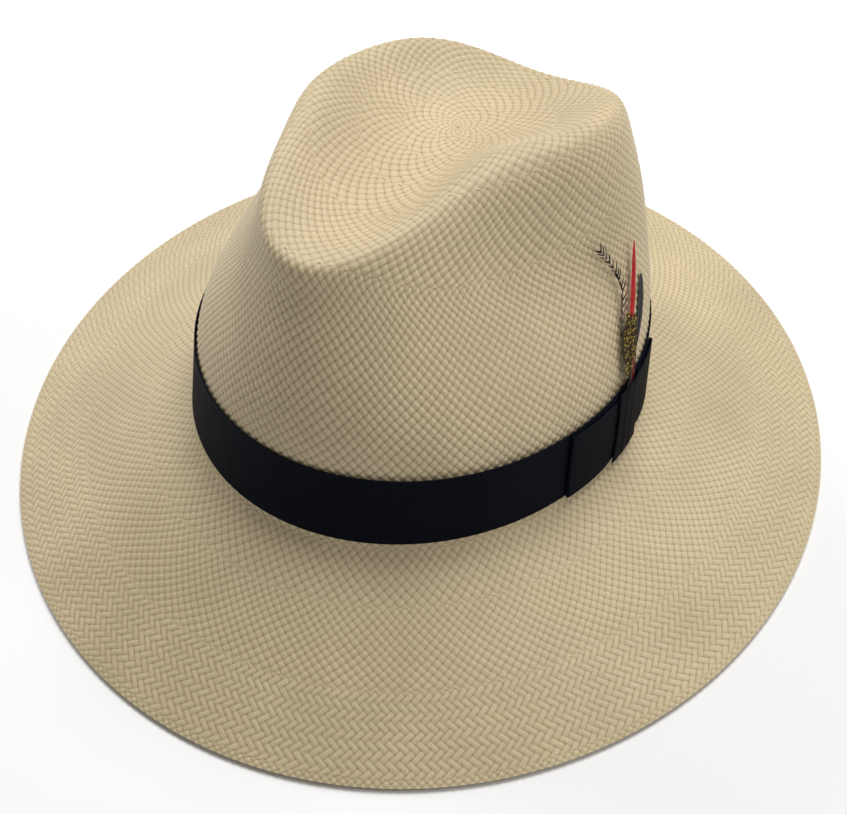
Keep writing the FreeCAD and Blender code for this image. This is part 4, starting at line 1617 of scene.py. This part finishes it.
    def binding(self) -> bpy.types.Object:
        """Winds thread round the four quills inside the tuck."""
        leave, out, slide, across = self.tuck_frame()
        turns, steps = 13, 20                      # steps to a turn
        half_wide, half_deep = 2.32, 0.47          # the winding's section, in mm
        low, length, thread = -10.7, 6.4, 0.22
        share = np.linspace(0, 1, turns * steps + 1)
        turn = share * turns * 2 * math.pi
        wide = np.sign(np.cos(turn)) * np.abs(np.cos(turn)) ** 0.45 * half_wide
        deep = np.sign(np.sin(turn)) * np.abs(np.sin(turn)) ** 0.8 * half_deep
        rise = low + length * share
        path = leave + across * wide[:, None] + out * deep[:, None] + slide * rise[:, None]
        bundle = StrandBundle()
        bundle.add(path, np.full(len(path), thread), slide, 0.5, sides=5)
        return bundle.build("binding_windings")


# ------------------------------------------------------------------- studio
@dataclass
class Studio:
    """Pale floor, soft light from all round, and the camera."""

    azimuth: float = 30.2          # degrees from the front toward the wearer's left
    elevation: float = 48.5
    roll: float = -0.3
    distance: float = 700.6        # mm from the aim
    aim: tuple[float, float, float] = (2.9, -4.6, 19.3)
    lens: float = 73.01
    surround: float = 0.22         # strength of the even light
    floor_white: float = 0.93
    # each soft box's name, place and side in metres, and watts
    boxes: tuple[tuple[str, tuple[float, float, float], float, float], ...] = (
        ("key_box", (-0.05, 0.90, 2.22), 1.3, 46.0),
        ("right_box", (1.25, 0.30, 0.80), 0.6, 3.5),
        ("left_box", (-1.25, 0.35, 0.85), 0.6, 6.0))

    def build(self) -> None:
        """Sets up the camera, the lights and the floor."""
        self.camera()
        self.lights()
        self.floor()

    def camera(self) -> None:
        """Creates the camera and makes it the scene's."""
        a, e = math.radians(self.azimuth), math.radians(self.elevation)
        back = Vector((math.sin(a) * math.cos(e), -math.cos(a) * math.cos(e), math.sin(e)))
        right = Vector((math.cos(a), math.sin(a), 0))
        up = back.cross(right)
        turn = math.radians(self.roll)
        right, up = (right * math.cos(turn) + up * math.sin(turn),
                     up * math.cos(turn) - right * math.sin(turn))
        data = bpy.data.cameras.new("camera")
        data.lens = self.lens
        data.sensor_width = 36.0
        data.clip_start = 0.01
        data.clip_end = 20.0
        made = bpy.data.objects.new("camera", data)
        place = (Vector(self.aim) + back * self.distance) * MM
        facing = Matrix((right, up, back)).transposed().to_4x4()
        made.matrix_world = Matrix.Translation(place) @ facing
        bpy.context.scene.collection.objects.link(made)
        bpy.context.scene.camera = made

    @staticmethod
    def area_light(name: str, place: tuple[float, float, float], size: float,
                   power: float) -> None:
        """Adds a square soft light that faces the hat.

        Args:
            name: the light's name.
            place: where it hangs, in metres.
            size: its side, in metres.
            power: its watts.
        """
        data = bpy.data.lights.new(name, "AREA")
        data.shape = "SQUARE"
        data.size = size
        data.energy = power
        made = bpy.data.objects.new(name, data)
        made.location = place
        aim = Vector((0, 0, 0.06)) - Vector(place)
        made.rotation_euler = aim.to_track_quat("-Z", "Y").to_euler()
        bpy.context.scene.collection.objects.link(made)

    def lights(self) -> None:
        """Adds the soft boxes and the even surrounding light."""
        for name, place, size, power in self.boxes:
            self.area_light(name, place, size, power)
        world = bpy.data.worlds.new("studio")
        world.use_nodes = True
        backdrop = world.node_tree.nodes["Background"]
        backdrop.inputs["Color"].default_value = (1.0, 1.0, 1.0, 1.0)
        backdrop.inputs["Strength"].default_value = self.surround
        bpy.context.scene.world = world
        bpy.context.scene.view_settings.view_transform = "Standard"

    def floor(self) -> None:
        """Adds the plain pale floor."""
        clear_selection()
        bpy.ops.mesh.primitive_plane_add(size=12.0, location=(0, 0, -0.0004))
        floor = bpy.context.active_object
        floor.name = "floor"
        board = NodeBoard("pale_floor")
        board.shader.inputs["Base Color"].default_value = (*[self.floor_white] * 3, 1.0)
        board.surface(roughness=0.9)
        dress(floor, board.material)


def main() -> None:
    """Builds the hat piece by piece and reports each one."""
    logging.basicConfig(level=logging.INFO, format="%(message)s")
    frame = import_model()
    Studio().build()
    form = HatForm()
    pieces = StrawHood(form).build()
    pieces += RibbonTrim().build()
    pieces += SweatbandSet(frame["nodes"]).build()
    pieces += FeatherSpray(CrownWall(form)).build()
    for piece in pieces:
        LOG.info("%s: %d faces", piece.name, len(piece.data.polygons))


if __name__ == "__main__":
    main()
